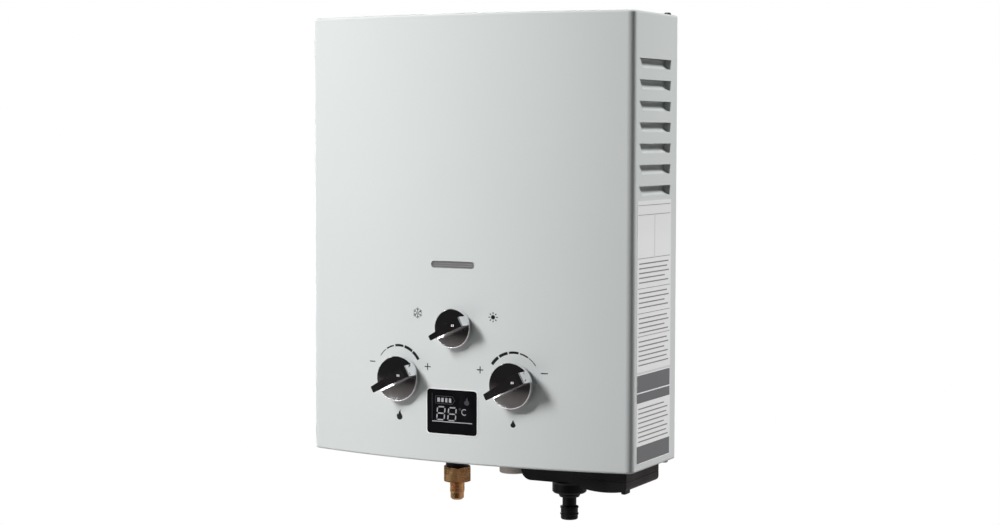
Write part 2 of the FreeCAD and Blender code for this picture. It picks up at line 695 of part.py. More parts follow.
def make_cover_screws():
    screws = []
    head = COVER_SCREW_HEAD_HEIGHT
    for x, y in cover_screw_places():
        under = turned(x, y, [(0, -head), (COVER_SCREW_HEAD - COVER_SCREW_CHAMFER, -head),
                              (COVER_SCREW_HEAD, COVER_SCREW_CHAMFER - head), (COVER_SCREW_HEAD, 0),
                              (COVER_SCREW_RADIUS, 0), (COVER_SCREW_RADIUS, COVER_SCREW_LENGTH),
                              (0, COVER_SCREW_LENGTH)])
        screws.append(under)
        screws.append(under.mirror(vec(0, 0, CASE_HEIGHT / 2), ALONG_Z))
    return group(screws)


def make_viewing_mesh():
    plate = rounded_plate(WINDOW_X, WINDOW_Z, WINDOW_WIDTH + 2 * MESH_BORDER,
                          WINDOW_HEIGHT + 2 * MESH_BORDER, MESH_BORDER,
                          front_y(0) - 1, front_y(0) + PANEL_CUT_REACH)
    layer = panel_layer(-SHEET, SHEET + MESH_THICKNESS, WINDOW_Z - WINDOW_HEIGHT - MESH_BORDER,
                        WINDOW_Z + WINDOW_HEIGHT + MESH_BORDER)
    return plate.common(layer)


# Display

def display_plate(border, y0, y1):
    return rounded_plate(DISPLAY_X, DISPLAY_Z, DISPLAY_WIDTH + 2 * border,
                         DISPLAY_HEIGHT + 2 * border, DISPLAY_ROUND, y0, y1)


def display_layer(proud, behind):
    return panel_layer(proud, behind, DISPLAY_Z - DISPLAY_HEIGHT, DISPLAY_Z + DISPLAY_HEIGHT)


def make_display_lens():
    ahead = front_y(0) - 2
    behind = front_y(0) + PANEL_CUT_REACH
    face = display_plate(0, ahead, behind).common(display_layer(LENS_PROUD, SHEET))
    flange = display_plate(LENS_FLANGE, ahead, behind)
    flange = flange.common(display_layer(-SHEET, SHEET + LENS_BACK))
    return join(face, flange)


def make_display_housing():
    y0 = front_y(0)
    y1 = y0 + SHEET + LENS_BACK + DISPLAY_CASE_DEPTH
    frame = display_plate(LENS_FLANGE, y0, y1)
    frame = frame.cut(display_layer(1, SHEET + LENS_BACK))
    hollow = display_plate(LENS_FLANGE - DISPLAY_CASE_WALL, y0 - 1, y1 - DISPLAY_CASE_WALL)
    plug = block(DISPLAY_X - DISPLAY_WIDTH / 5, DISPLAY_X + DISPLAY_WIDTH / 5,
                 y1 - DISPLAY_CASE_WALL - 1, y1 + 1,
                 DISPLAY_Z - DISPLAY_HEIGHT / 4, DISPLAY_Z - DISPLAY_HEIGHT / 8)
    return frame.cut([hollow, plug])


def make_display_board():
    y1 = front_y(0) + SHEET + LENS_BACK + DISPLAY_CASE_DEPTH - DISPLAY_CASE_WALL
    board = display_plate(LENS_FLANGE - DISPLAY_CASE_WALL - SEAT_CLEARANCE, y1 - BOARD_THICKNESS, y1)
    digits = block(DISPLAY_X - DISPLAY_WIDTH / 3, DISPLAY_X + DISPLAY_WIDTH / 3,
                   y1 - BOARD_THICKNESS - DISPLAY_CASE_DEPTH / 3, y1 - BOARD_THICKNESS,
                   DISPLAY_Z - DISPLAY_HEIGHT / 4, DISPLAY_Z + DISPLAY_HEIGHT / 3)
    return join(board, digits)


# Knobs and spindles

def knob_faces(x, radius):
    """Y of the back and of the front of the knob's skirt, clear of the curved panel."""
    nearest = min(front_y(x - radius), front_y(x + radius), front_y(x))
    if abs(x) < radius:
        nearest = front_y(0)
    back = nearest - KNOB_PANEL_GAP
    return back, back - KNOB_SKIRT


def make_knob(x, z, radius, narrow, wide):
    back, face = knob_faces(x, radius)
    tip = face - KNOB_GRIP
    skirt = rod_y(radius, face, back, x, z)
    rim = [edge for edge in skirt.Edges if edge.BoundBox.YMax < face + 1e-6]
    skirt = skirt.makeFillet(KNOB_RIM_ROUND, rim)
    grip = outline_face([vec(x - radius, tip, z - narrow / 2), vec(x + radius, tip, z - wide / 2),
                         vec(x + radius, tip, z + wide / 2), vec(x - radius, tip, z + narrow / 2)])
    grip = grip.extrude(vec(0, back - tip, 0))
    turn = KNOB_GRIP_ROUND * (1 - math.sin(math.pi / 4))
    side = outline_face([vec(x - radius - 1, tip, z - wide), vec(x + radius - KNOB_GRIP_ROUND, tip, z - wide),
                         (vec(x + radius - turn, tip + turn, z - wide),
                          vec(x + radius, tip + KNOB_GRIP_ROUND, z - wide)),
                         vec(x + radius, back, z - wide), vec(x - radius - 1, back, z - wide)])
    side = side.extrude(vec(0, 0, 2 * wide))
    grip = grip.common([side]).common([rod_y(radius, tip, back, x, z)])
    knob = join(skirt, grip)
    bore = rod_y(SPINDLE_RADIUS + SEAT_CLEARANCE, back - KNOB_BORE_DEPTH, back + 1, x, z)
    flat = block(x - radius, x + radius, back - KNOB_BORE_DEPTH - 1, back + 2,
                 z + SPINDLE_RADIUS - SPINDLE_FLAT + SEAT_CLEARANCE, z + radius)
    knob = knob.cut(bore.cut(flat))
    knob.rotate(vec(x, 0, z), ALONG_Y, -KNOB_REST_ANGLE)
    return knob


def boss_front(x):
    """Y of the front face of a valve's spindle boss, behind the panel at x."""
    return front_y(x) + VALVE_FRONT_GAP


def make_spindle(x, z, radius):
    back = knob_faces(x, radius)[0]
    inner = boss_front(x) + SPINDLE_REACH
    shaft = rod_y(SPINDLE_RADIUS, back - KNOB_BORE_DEPTH + SEAT_CLEARANCE, inner, x, z)
    flat = block(x - radius, x + radius, back - KNOB_BORE_DEPTH - 1, back + 1,
                 z + SPINDLE_RADIUS - SPINDLE_FLAT, z + radius)
    shoulder = rod_y(SPINDLE_SHOULDER_RADIUS, boss_front(x) - 2, inner, x, z)
    spindle = join(shaft.cut(flat), shoulder)
    spindle.rotate(vec(x, 0, z), ALONG_Y, -KNOB_REST_ANGLE)
    return spindle


def spindle_bore(x, z):
    """Room for a spindle, from the panel to the blind end in its valve."""
    radius = SPINDLE_SHOULDER_RADIUS + RUNNING_CLEARANCE
    return rod_y(radius, front_y(x), boss_front(x) + SPINDLE_REACH + SEAT_CLEARANCE, x, z)


# Gas side

def make_gas_inlet_fitting():
    top = FLOOR_UNDER + GAS_SHANK_RISE
    hex_low = GAS_HEX_TOP - GAS_HEX_LENGTH
    thread_low = hex_low - GAS_THREAD_LENGTH
    nose_low = thread_low - GAS_NOSE_LENGTH
    mouth = (GAS_NOSE_RADIUS + GAS_BORE_RADIUS) / 2
    relief = GAS_NOSE_RADIUS
    stem = turned(GAS_X, CONNECTOR_Y, [
        (GAS_BORE_RADIUS, nose_low), (mouth, nose_low),
        (GAS_NOSE_RADIUS, nose_low + GAS_NOSE_RADIUS - mouth), (GAS_NOSE_RADIUS, thread_low),
        (GAS_THREAD_RADIUS, thread_low + GAS_THREAD_LEAD),
        (GAS_THREAD_RADIUS, hex_low - GAS_THREAD_LEAD - GAS_THREAD_RUNOUT),
        (relief, hex_low - GAS_THREAD_LEAD), (relief, hex_low + 1), (GAS_SHANK_RADIUS, hex_low + 1),
        (GAS_SHANK_RADIUS, top), (GAS_BORE_RADIUS, top)])
    nut = hexagon(GAS_HEX_FLATS, GAS_X, CONNECTOR_Y, hex_low, GAS_HEX_TOP)
    nut = nut.cut(rod_z(GAS_BORE_RADIUS, hex_low - 1, GAS_HEX_TOP + 1, GAS_X, CONNECTOR_Y))
    return join(stem, nut)


def make_gas_inlet_gland():
    gland = rod_z(GAS_GLAND_RADIUS, GAS_HEX_TOP, FLOOR_UNDER, GAS_X, CONNECTOR_Y)
    bore = rod_z(GAS_SHANK_RADIUS + SEAT_CLEARANCE, GAS_HEX_TOP - 1, FLOOR_UNDER + 1, GAS_X, CONNECTOR_Y)
    return gland.cut(bore)


def make_gas_valve_body():
    body = block(GAS_BODY_X0, GAS_BODY_X1, GAS_BODY_Y0, GAS_BODY_Y1, GAS_BODY_Z0, GAS_BODY_Z1)
    edges = [edge for edge in body.Edges if edge.BoundBox.ZLength > 1]
    body = body.makeFillet(3.0, edges)
    boss = rod_y(VALVE_BOSS_RADIUS, boss_front(GAS_KNOB_X), GAS_BODY_Y0 + 1, GAS_KNOB_X, KNOB_HEIGHT)
    shank_top = FLOOR_UNDER + GAS_SHANK_RISE
    inlet_low = FLOOR_TOP + SEAT_CLEARANCE
    inlet = rod_z(GAS_INLET_BOSS_RADIUS, inlet_low, GAS_BODY_Z0 + 1, GAS_X, CONNECTOR_Y)
    socket = rod_z(GAS_SHANK_RADIUS + SEAT_CLEARANCE, inlet_low - 1, shank_top + SEAT_CLEARANCE,
                   GAS_X, CONNECTOR_Y)
    guide = rod_x(ROD_RADIUS + RUNNING_CLEARANCE, GAS_BODY_X1 - ROD_ENTRY - ROD_TRAVEL - 1,
                  GAS_BODY_X1 + 1, LINKAGE_Y, LINKAGE_Z)
    return join(body, boss, inlet).cut([socket, guide, spindle_bore(GAS_KNOB_X, KNOB_HEIGHT)])


def make_solenoid_valve():
    z = KNOB_HEIGHT - SOLENOID_DROP
    y = LINKAGE_Y
    end = GAS_BODY_X0 - SOLENOID_LENGTH
    step = GAS_BODY_X0 - SOLENOID_COLLAR_LENGTH
    middle = (end + step) / 2
    half = SOLENOID_PLUG / 2
    coil = rod_x(SOLENOID_RADIUS, end, step, y, z)
    collar = rod_x(SOLENOID_COLLAR_RADIUS, step, GAS_BODY_X0, y, z)
    plug = block(middle - half, middle + half, y - half, y + half,
                 z + SOLENOID_RADIUS - half, z + SOLENOID_RADIUS + half)
    return join(coil, collar, plug)


def make_season_valve_body():
    x = CONTROL_CENTRE_X
    low = SEASON_KNOB_HEIGHT - SEASON_BODY_HALF
    rear = -SEASON_BODY_REAR
    high = BURNER_BOTTOM - 1
    body = block(x - SEASON_BODY_HALF, x + SEASON_BODY_HALF, MANIFOLD_FRONT_Y, rear, low, high)
    pad = block(x - SEASON_BODY_HALF, x + SEASON_BODY_HALF, MANIFOLD_FRONT_Y, MANIFOLD_BACK_Y,
                high - 1, MANIFOLD_BOTTOM)
    face = min(boss_front(x), MANIFOLD_FRONT_Y - 1)
    boss = rod_y(SEASON_BOSS_RADIUS, face, MANIFOLD_FRONT_Y + 1, x, SEASON_KNOB_HEIGHT)
    y = -SEASON_ARM_DEPTH
    arm = rod_x(SEASON_ARM_RADIUS, SEASON_ARM_X, x, y, SEASON_KNOB_HEIGHT)
    elbow = Part.makeSphere(SEASON_ARM_RADIUS, vec(SEASON_ARM_X, y, SEASON_KNOB_HEIGHT))
    leg = rod_z(SEASON_ARM_RADIUS, GAS_BODY_Z1, SEASON_KNOB_HEIGHT, SEASON_ARM_X, y)
    foot = rod_z(SEASON_FOOT_RADIUS, GAS_BODY_Z1, GAS_BODY_Z1 + SEASON_FOOT_THICKNESS, SEASON_ARM_X, y)
    solid = join(body, pad, boss, arm, elbow, leg, foot)
    return solid.cut(spindle_bore(x, SEASON_KNOB_HEIGHT))


def make_gas_manifold():
    half = CHAMBER_HALF - SHEET - MANIFOLD_END_GAP
    bar = block(-half, half, MANIFOLD_FRONT_Y, MANIFOLD_BACK_Y, MANIFOLD_BOTTOM,
                MANIFOLD_BOTTOM + MANIFOLD_HEIGHT)
    edges = [edge for edge in bar.Edges if edge.BoundBox.XLength > 1 and edge.BoundBox.YMax < MANIFOLD_BACK_Y]
    bar = bar.makeFillet(MANIFOLD_ROUND, edges)
    lugs = []
    for x0 in (-half, half - MANIFOLD_GAP):
        lugs.append(block(x0, x0 + MANIFOLD_GAP, MANIFOLD_BACK_Y, CHAMBER_FRONT_Y,
                          MANIFOLD_BOTTOM, MANIFOLD_BOTTOM + MANIFOLD_HEIGHT))
    return join(bar, *lugs)


def make_injectors():
    injectors = []
    cone_y = MANIFOLD_BACK_Y + INJECTOR_LENGTH - INJECTOR_TIP_LENGTH
    for x in across(BURNER_COUNT, BURNER_PITCH):
        body = rod_y(INJECTOR_RADIUS, MANIFOLD_BACK_Y, cone_y, x, VENTURI_Z)
        tip = Part.makeCone(INJECTOR_RADIUS, INJECTOR_TIP_RADIUS, INJECTOR_TIP_LENGTH,
                            vec(x, cone_y, VENTURI_Z), ALONG_Y)
        injectors.append(join(body, tip))
    return group(injectors)


# Burner and chamber

def make_burner_bars():
    """Flat burner bars with ports across the top and a round mixing tube along the foot."""
    y0 = CHAMBER_FRONT_Y + SHEET + BURNER_END_CLEARANCE
    y1 = CHAMBER_BACK_Y - SHEET - BURNER_END_CLEARANCE
    top = BURNER_TOP - 1
    port_pitch = (y1 - y0) / (BURNER_PORT_COUNT + 1)
    bars = []
    for x in across(BURNER_COUNT, BURNER_PITCH):
        head = block(x - BURNER_BAR_WIDTH / 2, x + BURNER_BAR_WIDTH / 2, y0, y1, top - BURNER_BAR_HEIGHT, top)
        web = block(x - BURNER_WEB / 2, x + BURNER_WEB / 2, y0 + VENTURI_BORE_DEPTH, y1,
                    VENTURI_Z, top - BURNER_BAR_HEIGHT)
        tube = rod_y(VENTURI_RADIUS, y0, y1 - VENTURI_RADIUS, x, VENTURI_Z)
        cuts = [rod_y(VENTURI_BORE_RADIUS, y0 - 1, y0 + VENTURI_BORE_DEPTH, x, VENTURI_Z)]
        for k in range(BURNER_PORT_COUNT):
            y = y0 + (k + 1) * port_pitch
            cuts.append(block(x - BURNER_BAR_WIDTH, x + BURNER_BAR_WIDTH, y - BURNER_PORT_WIDTH / 2,
                              y + BURNER_PORT_WIDTH / 2, top - BURNER_PORT_DEPTH, top + 1))
        bars.append(join(head, web, tube).cut(cuts))
    return group(bars)


def make_burner_frame():
    """Sheet frame round the bars, with its side walls carried back to the chassis."""
    ring = wall_ring(CHAMBER_HALF, CHAMBER_FRONT_Y, CHAMBER_BACK_Y, BURNER_BOTTOM, BURNER_TOP, SHEET)
    cuts = []
    for x in across(BURNER_COUNT, BURNER_PITCH):
        cuts.append(rod_y(VENTURI_RADIUS, CHAMBER_FRONT_Y - 1, CHAMBER_FRONT_Y + SHEET + 0.1, x, VENTURI_Z))
    arms = []
    for x0 in (-CHAMBER_HALF, CHAMBER_HALF - SHEET):
        arms.append(block(x0, x0 + SHEET, CHAMBER_BACK_Y - 1, BACK_FACE, BURNER_BOTTOM, BURNER_TOP))
    feet = []
    for x0 in (-CHAMBER_HALF, CHAMBER_HALF - CHASSIS_SIDE_FLANGE):
        feet.append(block(x0, x0 + CHASSIS_SIDE_FLANGE, BACK_FACE - SHEET, BACK_FACE,
                          BURNER_BOTTOM, BURNER_TOP))
    return join(ring.cut(cuts), *arms, *feet)


def make_combustion_chamber():
    walls = wall_ring(CHAMBER_HALF, CHAMBER_FRONT_Y, CHAMBER_BACK_Y, BURNER_TOP, CHAMBER_TOP, SHEET)
    sight = rounded_plate(WINDOW_X, WINDOW_Z, WINDOW_WIDTH, WINDOW_HEIGHT, WINDOW_HEIGHT / 2 - 0.01,
                          CHAMBER_FRONT_Y - 1, CHAMBER_FRONT_Y + SHEET + 1)
    cuts = [sight]
    for x in (-ELECTRODE_SPREAD, ELECTRODE_SPREAD):
        cuts.append(rod_y(ELECTRODE_RADIUS + SEAT_CLEARANCE, CHAMBER_FRONT_Y - 1, CHAMBER_FRONT_Y + SHEET + 1,
                          x, BURNER_TOP + ELECTRODE_HEIGHT))
    proud = CHAMBER_BEAD_PROUD
    beads = []
    for z in (CHAMBER_TOP - CHAMBER_HEIGHT / 4, CHAMBER_TOP - CHAMBER_HEIGHT / 2):
        beads.append(wall_ring(CHAMBER_HALF + proud, CHAMBER_FRONT_Y - proud, CHAMBER_BACK_Y + proud,
                               z, z + CHAMBER_BEAD_WIDTH, proud + SHEET / 2))
    return join(walls.cut(cuts), *beads)


def make_exchanger_casing():
    walls = wall_ring(CHAMBER_HALF, CHAMBER_FRONT_Y, CHAMBER_BACK_Y, CHAMBER_TOP, EXCHANGER_TOP,
                      EXCHANGER_SHEET)
    holes = []
    for y in (FRONT_PASS_Y, CHAMBER_MIDDLE_Y, REAR_PASS_Y):
        holes.append(rod_x(TUBE_RADIUS + SEAT_CLEARANCE, -CHAMBER_WIDTH, CHAMBER_WIDTH, y, TUBE_Z))
    return walls.cut(holes)


def make_exchanger_fins():
    """A stack of thin fins, each with three tube holes and a scalloped lower edge."""
    side = EXCHANGER_SHEET + FIN_SIDE_CLEARANCE
    y0 = CHAMBER_FRONT_Y + side
    y1 = CHAMBER_BACK_Y - side
    low = CHAMBER_TOP + FIN_LIFT
    high = EXCHANGER_TOP - FIN_LIFT
    notch = TUBE_PITCH / 2 - TUBE_RADIUS
    middle = (FRONT_PASS_Y + CHAMBER_MIDDLE_Y) / 2
    points = [vec(0, y0, low), vec(0, middle - notch, low), vec(0, middle, low + notch),
              vec(0, middle + notch, low)]
    middle = (REAR_PASS_Y + CHAMBER_MIDDLE_Y) / 2
    points += [vec(0, middle - notch, low), vec(0, middle, low + notch), vec(0, middle + notch, low),
               vec(0, y1, low), vec(0, y1, high), vec(0, y0, high)]
    plate = outline_face(points).extrude(vec(FIN_THICKNESS, 0, 0))
    holes = []
    for y in (FRONT_PASS_Y, CHAMBER_MIDDLE_Y, REAR_PASS_Y):
        holes.append(rod_x(TUBE_RADIUS + SEAT_CLEARANCE, -1, FIN_THICKNESS + 1, y, TUBE_Z))
    plate = plate.cut(holes)
    pitch = CHAMBER_WIDTH / (FIN_COUNT + 1)
    fins = []
    for x in across(FIN_COUNT, pitch):
        fin = plate.copy()
        fin.translate(vec(x - FIN_THICKNESS / 2, 0, 0))
        fins.append(fin)
    return group(fins)


def make_exchanger_tube():
    """One tube in three passes: in at the front right, out at the rear left."""
    end = CHAMBER_HALF + TUBE_STUB
    bend = TUBE_PITCH / 2
    turn = CHAMBER_HALF + bend + 1
    points = [vec(end, FRONT_PASS_Y, TUBE_Z), vec(-turn, FRONT_PASS_Y, TUBE_Z),
              vec(-turn, CHAMBER_MIDDLE_Y, TUBE_Z), vec(turn, CHAMBER_MIDDLE_Y, TUBE_Z),
              vec(turn, REAR_PASS_Y, TUBE_Z), vec(-end, REAR_PASS_Y, TUBE_Z)]
    return bent_pipe(points, TUBE_RADIUS, bend)


def make_flue_hood():
    """A hood that narrows from the exchanger to the exhaust slots in the roof."""
    def shell(shrink):
        low = [vec(-CHAMBER_HALF + shrink, CHAMBER_FRONT_Y + shrink, EXCHANGER_TOP),
               vec(CHAMBER_HALF - shrink, CHAMBER_FRONT_Y + shrink, EXCHANGER_TOP),
               vec(CHAMBER_HALF - shrink, CHAMBER_BACK_Y - shrink, EXCHANGER_TOP),
               vec(-CHAMBER_HALF + shrink, CHAMBER_BACK_Y - shrink, EXCHANGER_TOP)]
        x = CHAMBER_HALF - HOOD_TAPER_X - shrink
        high = [vec(-x, CHAMBER_FRONT_Y + HOOD_TAPER_Y + shrink, ROOF_UNDER),
                vec(x, CHAMBER_FRONT_Y + HOOD_TAPER_Y + shrink, ROOF_UNDER),
                vec(x, CHAMBER_BACK_Y - HOOD_TAPER_Y - shrink, ROOF_UNDER),
                vec(-x, CHAMBER_BACK_Y - HOOD_TAPER_Y - shrink, ROOF_UNDER)]
        return Part.makeLoft([Part.Wire(outline_edges(low)), Part.Wire(outline_edges(high))], True, True)
    return shell(0).cut(shell(SHEET))


# Electrodes and safety devices

def make_electrode(x):
    z = BURNER_TOP + ELECTRODE_HEIGHT
    front = CHAMBER_FRONT_Y - ELECTRODE_FRONT_LENGTH
    inside = CHAMBER_FRONT_Y + ELECTRODE_CERAMIC_INSIDE
    ceramic = rod_y(ELECTRODE_RADIUS, front + TERMINAL_LENGTH, inside, x, z)
    terminal = rod_y(TERMINAL_RADIUS, front, front + TERMINAL_LENGTH + 1, x, z)
    wire = rod_y(ELECTRODE_WIRE_RADIUS, inside - 1, CHAMBER_FRONT_Y + ELECTRODE_TIP_LENGTH, x, z)
    return join(ceramic, terminal, wire)


def make_electrode_bracket():
    z = BURNER_TOP + ELECTRODE_HEIGHT
    face = CHAMBER_FRONT_Y
    plates = []
    for x in (-ELECTRODE_SPREAD, ELECTRODE_SPREAD):
        plate = rounded_plate(x, z, BRACKET_WIDTH, BRACKET_HEIGHT, BRACKET_ROUND, face - BRACKET_SHEET, face)
        bore = rod_y(ELECTRODE_RADIUS + SEAT_CLEARANCE, face - BRACKET_SHEET - 1, face + 1, x, z)
        plates.append(plate.cut(bore))
    return group(plates)


def make_overheat_thermostat():
    x = ELECTRODE_SPREAD
    face = CHAMBER_FRONT_Y
    flange = rounded_plate(x, TUBE_Z, THERMOSTAT_FLANGE_WIDTH, THERMOSTAT_FLANGE_HEIGHT, BRACKET_ROUND,
                           face - BRACKET_SHEET, face)
    can = rod_y(THERMOSTAT_RADIUS, face - THERMOSTAT_THICKNESS, face, x, TUBE_Z)
    end = face - THERMOSTAT_THICKNESS
    half = THERMOSTAT_TAG_THICKNESS / 2
    rise = THERMOSTAT_TAG_HEIGHT / 2
    tags = []
    for shift in across(2, THERMOSTAT_TAG_SPACING):
        tags.append(block(x + shift - half, x + shift + half, end - THERMOSTAT_TAG_LENGTH, end + 1,
                          TUBE_Z - rise, TUBE_Z + rise))
    return join(flange, can, *tags)


def make_ignition_controller():
    """Spark and flame control box on the back plate, with a row of plugs along its foot."""
    x0 = -HALF_WIDTH + CONTROLLER_SIDE_GAP
    x1 = x0 + CONTROLLER_WIDTH
    y0 = BACK_FACE - CONTROLLER_DEPTH
    top = CONTROLLER_BOTTOM + CONTROLLER_HEIGHT
    box = block(x0, x1, y0, BACK_FACE, CONTROLLER_BOTTOM, top)
    free_edges = [edge for edge in box.Edges if edge.BoundBox.YMax < BACK_FACE - 1]
    box = box.makeFillet(CONTROLLER_ROUND, free_edges)
    plugs = []
    pitch = CONTROLLER_WIDTH / PLUG_COUNT
    plug_y = y0 + PLUG_SETBACK
    for shift in across(PLUG_COUNT, pitch):
        x = (x0 + x1) / 2 + shift
        plugs.append(block(x - pitch / 3, x + pitch / 3, plug_y, plug_y + PLUG_DEPTH,
                           CONTROLLER_BOTTOM - PLUG_DROP, CONTROLLER_BOTTOM + 1))
    return join(box, *plugs)


def make_tilt_switch():
    x0 = -HALF_WIDTH + CONTROLLER_SIDE_GAP
    box = block(x0, x0 + TILT_SWITCH_WIDTH, BACK_FACE - TILT_SWITCH_DEPTH, BACK_FACE,
                TILT_SWITCH_BOTTOM, TILT_SWITCH_BOTTOM + TILT_SWITCH_HEIGHT)
    free_edges = [edge for edge in box.Edges if edge.BoundBox.YMax < BACK_FACE - 1]
    return box.makeFillet(TILT_SWITCH_ROUND, free_edges)


# Water side

def make_water_valve_body():
    x = WATER_KNOB_X
    z = KNOB_HEIGHT
    rear = -WATER_BARREL_REAR
    barrel = rod_y(WATER_BARREL_RADIUS, boss_front(x), rear, x, z)
    cross = rod_x(WATER_INLET_RADIUS, DIAPHRAGM_X + DIAPHRAGM_HOUSING_HALF - 1, INLET_X, CONNECTOR_Y, z)
    inlet = rod_z(WATER_INLET_RADIUS, FLOOR_TOP + SEAT_CLEARANCE, z, INLET_X, CONNECTOR_Y)
    knee = Part.makeSphere(WATER_INLET_RADIUS, vec(INLET_X, CONNECTOR_Y, z))
    port = rod_z(WATER_PORT_RADIUS, z, z + WATER_PORT_RISE, x, FRONT_PASS_Y)
    x0 = DIAPHRAGM_X + DIAPHRAGM_THICKNESS / 2
    half = rod_x(DIAPHRAGM_RIM_RADIUS, x0, DIAPHRAGM_X + DIAPHRAGM_HOUSING_HALF, LINKAGE_Y, LINKAGE_Z)
    cavity = rod_x(DIAPHRAGM_CAVITY_RADIUS, x0 - 1, x0 + DIAPHRAGM_CAVITY_DEPTH, LINKAGE_Y, LINKAGE_Z)
    socket = rod_z(NIPPLE_SHANK_RADIUS + SEAT_CLEARANCE, 0, FLOOR_UNDER + NIPPLE_SHANK_RISE + SEAT_CLEARANCE,
                   INLET_X, CONNECTOR_Y)
    outlet = rod_z(TUBE_RADIUS + SEAT_CLEARANCE, z + WATER_PORT_RISE - TUBE_SOCKET,
                   z + WATER_PORT_RISE + 1, x, FRONT_PASS_Y)
    body = join(barrel, cross, inlet, knee, port, half)
    cuts = [cavity, socket, outlet, spindle_bore(x, z)] + housing_screw_holes()
    return body.cut(cuts)


def housing_screw_places():
    """Y and Z of the screws round the diaphragm housing."""
    ring = (DIAPHRAGM_RIM_RADIUS + DIAPHRAGM_CAVITY_RADIUS) / 2
    places = []
    for k in range(HOUSING_SCREW_COUNT):
        angle = (k + 0.5) * 2 * math.pi / HOUSING_SCREW_COUNT
        places.append((LINKAGE_Y + ring * math.cos(angle), LINKAGE_Z + ring * math.sin(angle)))
    return places


def housing_screw_holes():
    holes = []
    for y, z in housing_screw_places():
        x0 = DIAPHRAGM_X - DIAPHRAGM_HOUSING_HALF
        end = x0 + HOUSING_SCREW_LENGTH + 1
        holes.append(rod_x(HOUSING_SCREW_RADIUS + SEAT_CLEARANCE, x0 - 1, end, y, z))
    return holes


def make_diaphragm():
    x0 = DIAPHRAGM_X - DIAPHRAGM_THICKNESS / 2
    disc = rod_x(DIAPHRAGM_RIM_RADIUS, x0, x0 + DIAPHRAGM_THICKNESS, LINKAGE_Y, LINKAGE_Z)
    return disc.cut(housing_screw_holes())


def make_diaphragm_cover():
    x0 = DIAPHRAGM_X - DIAPHRAGM_HOUSING_HALF
    x1 = DIAPHRAGM_X - DIAPHRAGM_THICKNESS / 2
    dish = rod_x(DIAPHRAGM_RIM_RADIUS, x0, x1, LINKAGE_Y, LINKAGE_Z)
    neck = rod_x(DIAPHRAGM_NECK_RADIUS, x0 - DIAPHRAGM_NECK_LENGTH, x0 + 1, LINKAGE_Y, LINKAGE_Z)
    cavity = rod_x(DIAPHRAGM_CAVITY_RADIUS, x1 - DIAPHRAGM_CAVITY_DEPTH, x1 + 1, LINKAGE_Y, LINKAGE_Z)
    guide = rod_x(ROD_RADIUS + RUNNING_CLEARANCE, x0 - DIAPHRAGM_NECK_LENGTH - 1, x1, LINKAGE_Y, LINKAGE_Z)
    return join(dish, neck).cut([cavity, guide] + housing_screw_holes())


def make_housing_screws():
    screws = []
    x0 = DIAPHRAGM_X - DIAPHRAGM_HOUSING_HALF
    for y, z in housing_screw_places():
        head = rod_x(HOUSING_SCREW_HEAD, x0 - HOUSING_SCREW_HEAD_HEIGHT, x0, y, z)
        shank = rod_x(HOUSING_SCREW_RADIUS, x0 - 1, x0 + HOUSING_SCREW_LENGTH, y, z)
        screws.append(join(head, shank))
    return group(screws)


def make_linkage_rod():
    """Rod from the diaphragm plate to the gas valve, with the collar that works the switch."""
    plate_x1 = DIAPHRAGM_X - DIAPHRAGM_THICKNESS / 2 - ROD_GAP
    rod = rod_x(ROD_RADIUS, GAS_BODY_X1 - ROD_ENTRY, plate_x1, LINKAGE_Y, LINKAGE_Z)
    plate = rod_x(ROD_PLATE_RADIUS, plate_x1 - ROD_PLATE_THICKNESS, plate_x1, LINKAGE_Y, LINKAGE_Z)
    collar = rod_x(ROD_COLLAR_RADIUS, ROD_COLLAR_X, ROD_COLLAR_X + ROD_COLLAR_THICKNESS, LINKAGE_Y, LINKAGE_Z)
    return join(rod, plate, collar)


def make_micro_switch():
    y0 = LINKAGE_Y - SWITCH_THICKNESS / 2
    y1 = LINKAGE_Y + SWITCH_THICKNESS / 2
    x0 = LEVER_X - SWITCH_LENGTH / 2
    body = block(x0, x0 + SWITCH_LENGTH, y0, y1, SWITCH_BOTTOM, SWITCH_TOP)
    ears = []
    ear_y = LEVER_THICKNESS + 2 * LEVER_GAP
    for side in (y0, y1 - (SWITCH_THICKNESS - ear_y) / 2):
        ears.append(block(LEVER_X - 2, LEVER_X + 2, side, side + (SWITCH_THICKNESS - ear_y) / 2,
                          SWITCH_BOTTOM - SWITCH_EAR, SWITCH_BOTTOM))
    pin = rod_y(LEVER_PIN_RADIUS, y0, y1, LEVER_X, LEVER_PIN_Z)
    return join(body, *ears, pin)


def make_switch_lever():
    """Lever that hangs from the switch beside the rod's collar."""
    y0 = LINKAGE_Y - LEVER_THICKNESS / 2
    y1 = LINKAGE_Y + LEVER_THICKNESS / 2
    tip_z = LINKAGE_Z + ROD_COLLAR_RADIUS - LEVER_OVERLAP
    hub = rod_y(LEVER_PIN_RADIUS + 0.8, y0, y1, LEVER_X, LEVER_PIN_Z)
    arm = block(LEVER_X - LEVER_THICKNESS / 2, LEVER_X + LEVER_THICKNESS / 2, y0, y1, tip_z, LEVER_PIN_Z)
    bore = rod_y(LEVER_PIN_RADIUS + RUNNING_CLEARANCE, y0 - 1, y1 + 1, LEVER_X, LEVER_PIN_Z)
    return join(hub, arm).cut(bore)


def make_switch_bracket():
    """Angle on the side of the gas valve that the switch hangs from."""
    y0 = LINKAGE_Y - SWITCH_THICKNESS
    y1 = LINKAGE_Y + SWITCH_THICKNESS
    x0 = GAS_BODY_X1
    top = block(x0, LEVER_X + SWITCH_LENGTH / 2, y0, y1, SWITCH_TOP, SWITCH_TOP + BRACKET_SHEET)
    leg = block(x0, x0 + BRACKET_SHEET, y0, y1, GAS_BODY_Z1 - SWITCH_HEIGHT, SWITCH_TOP + BRACKET_SHEET)
    return join(top, leg)


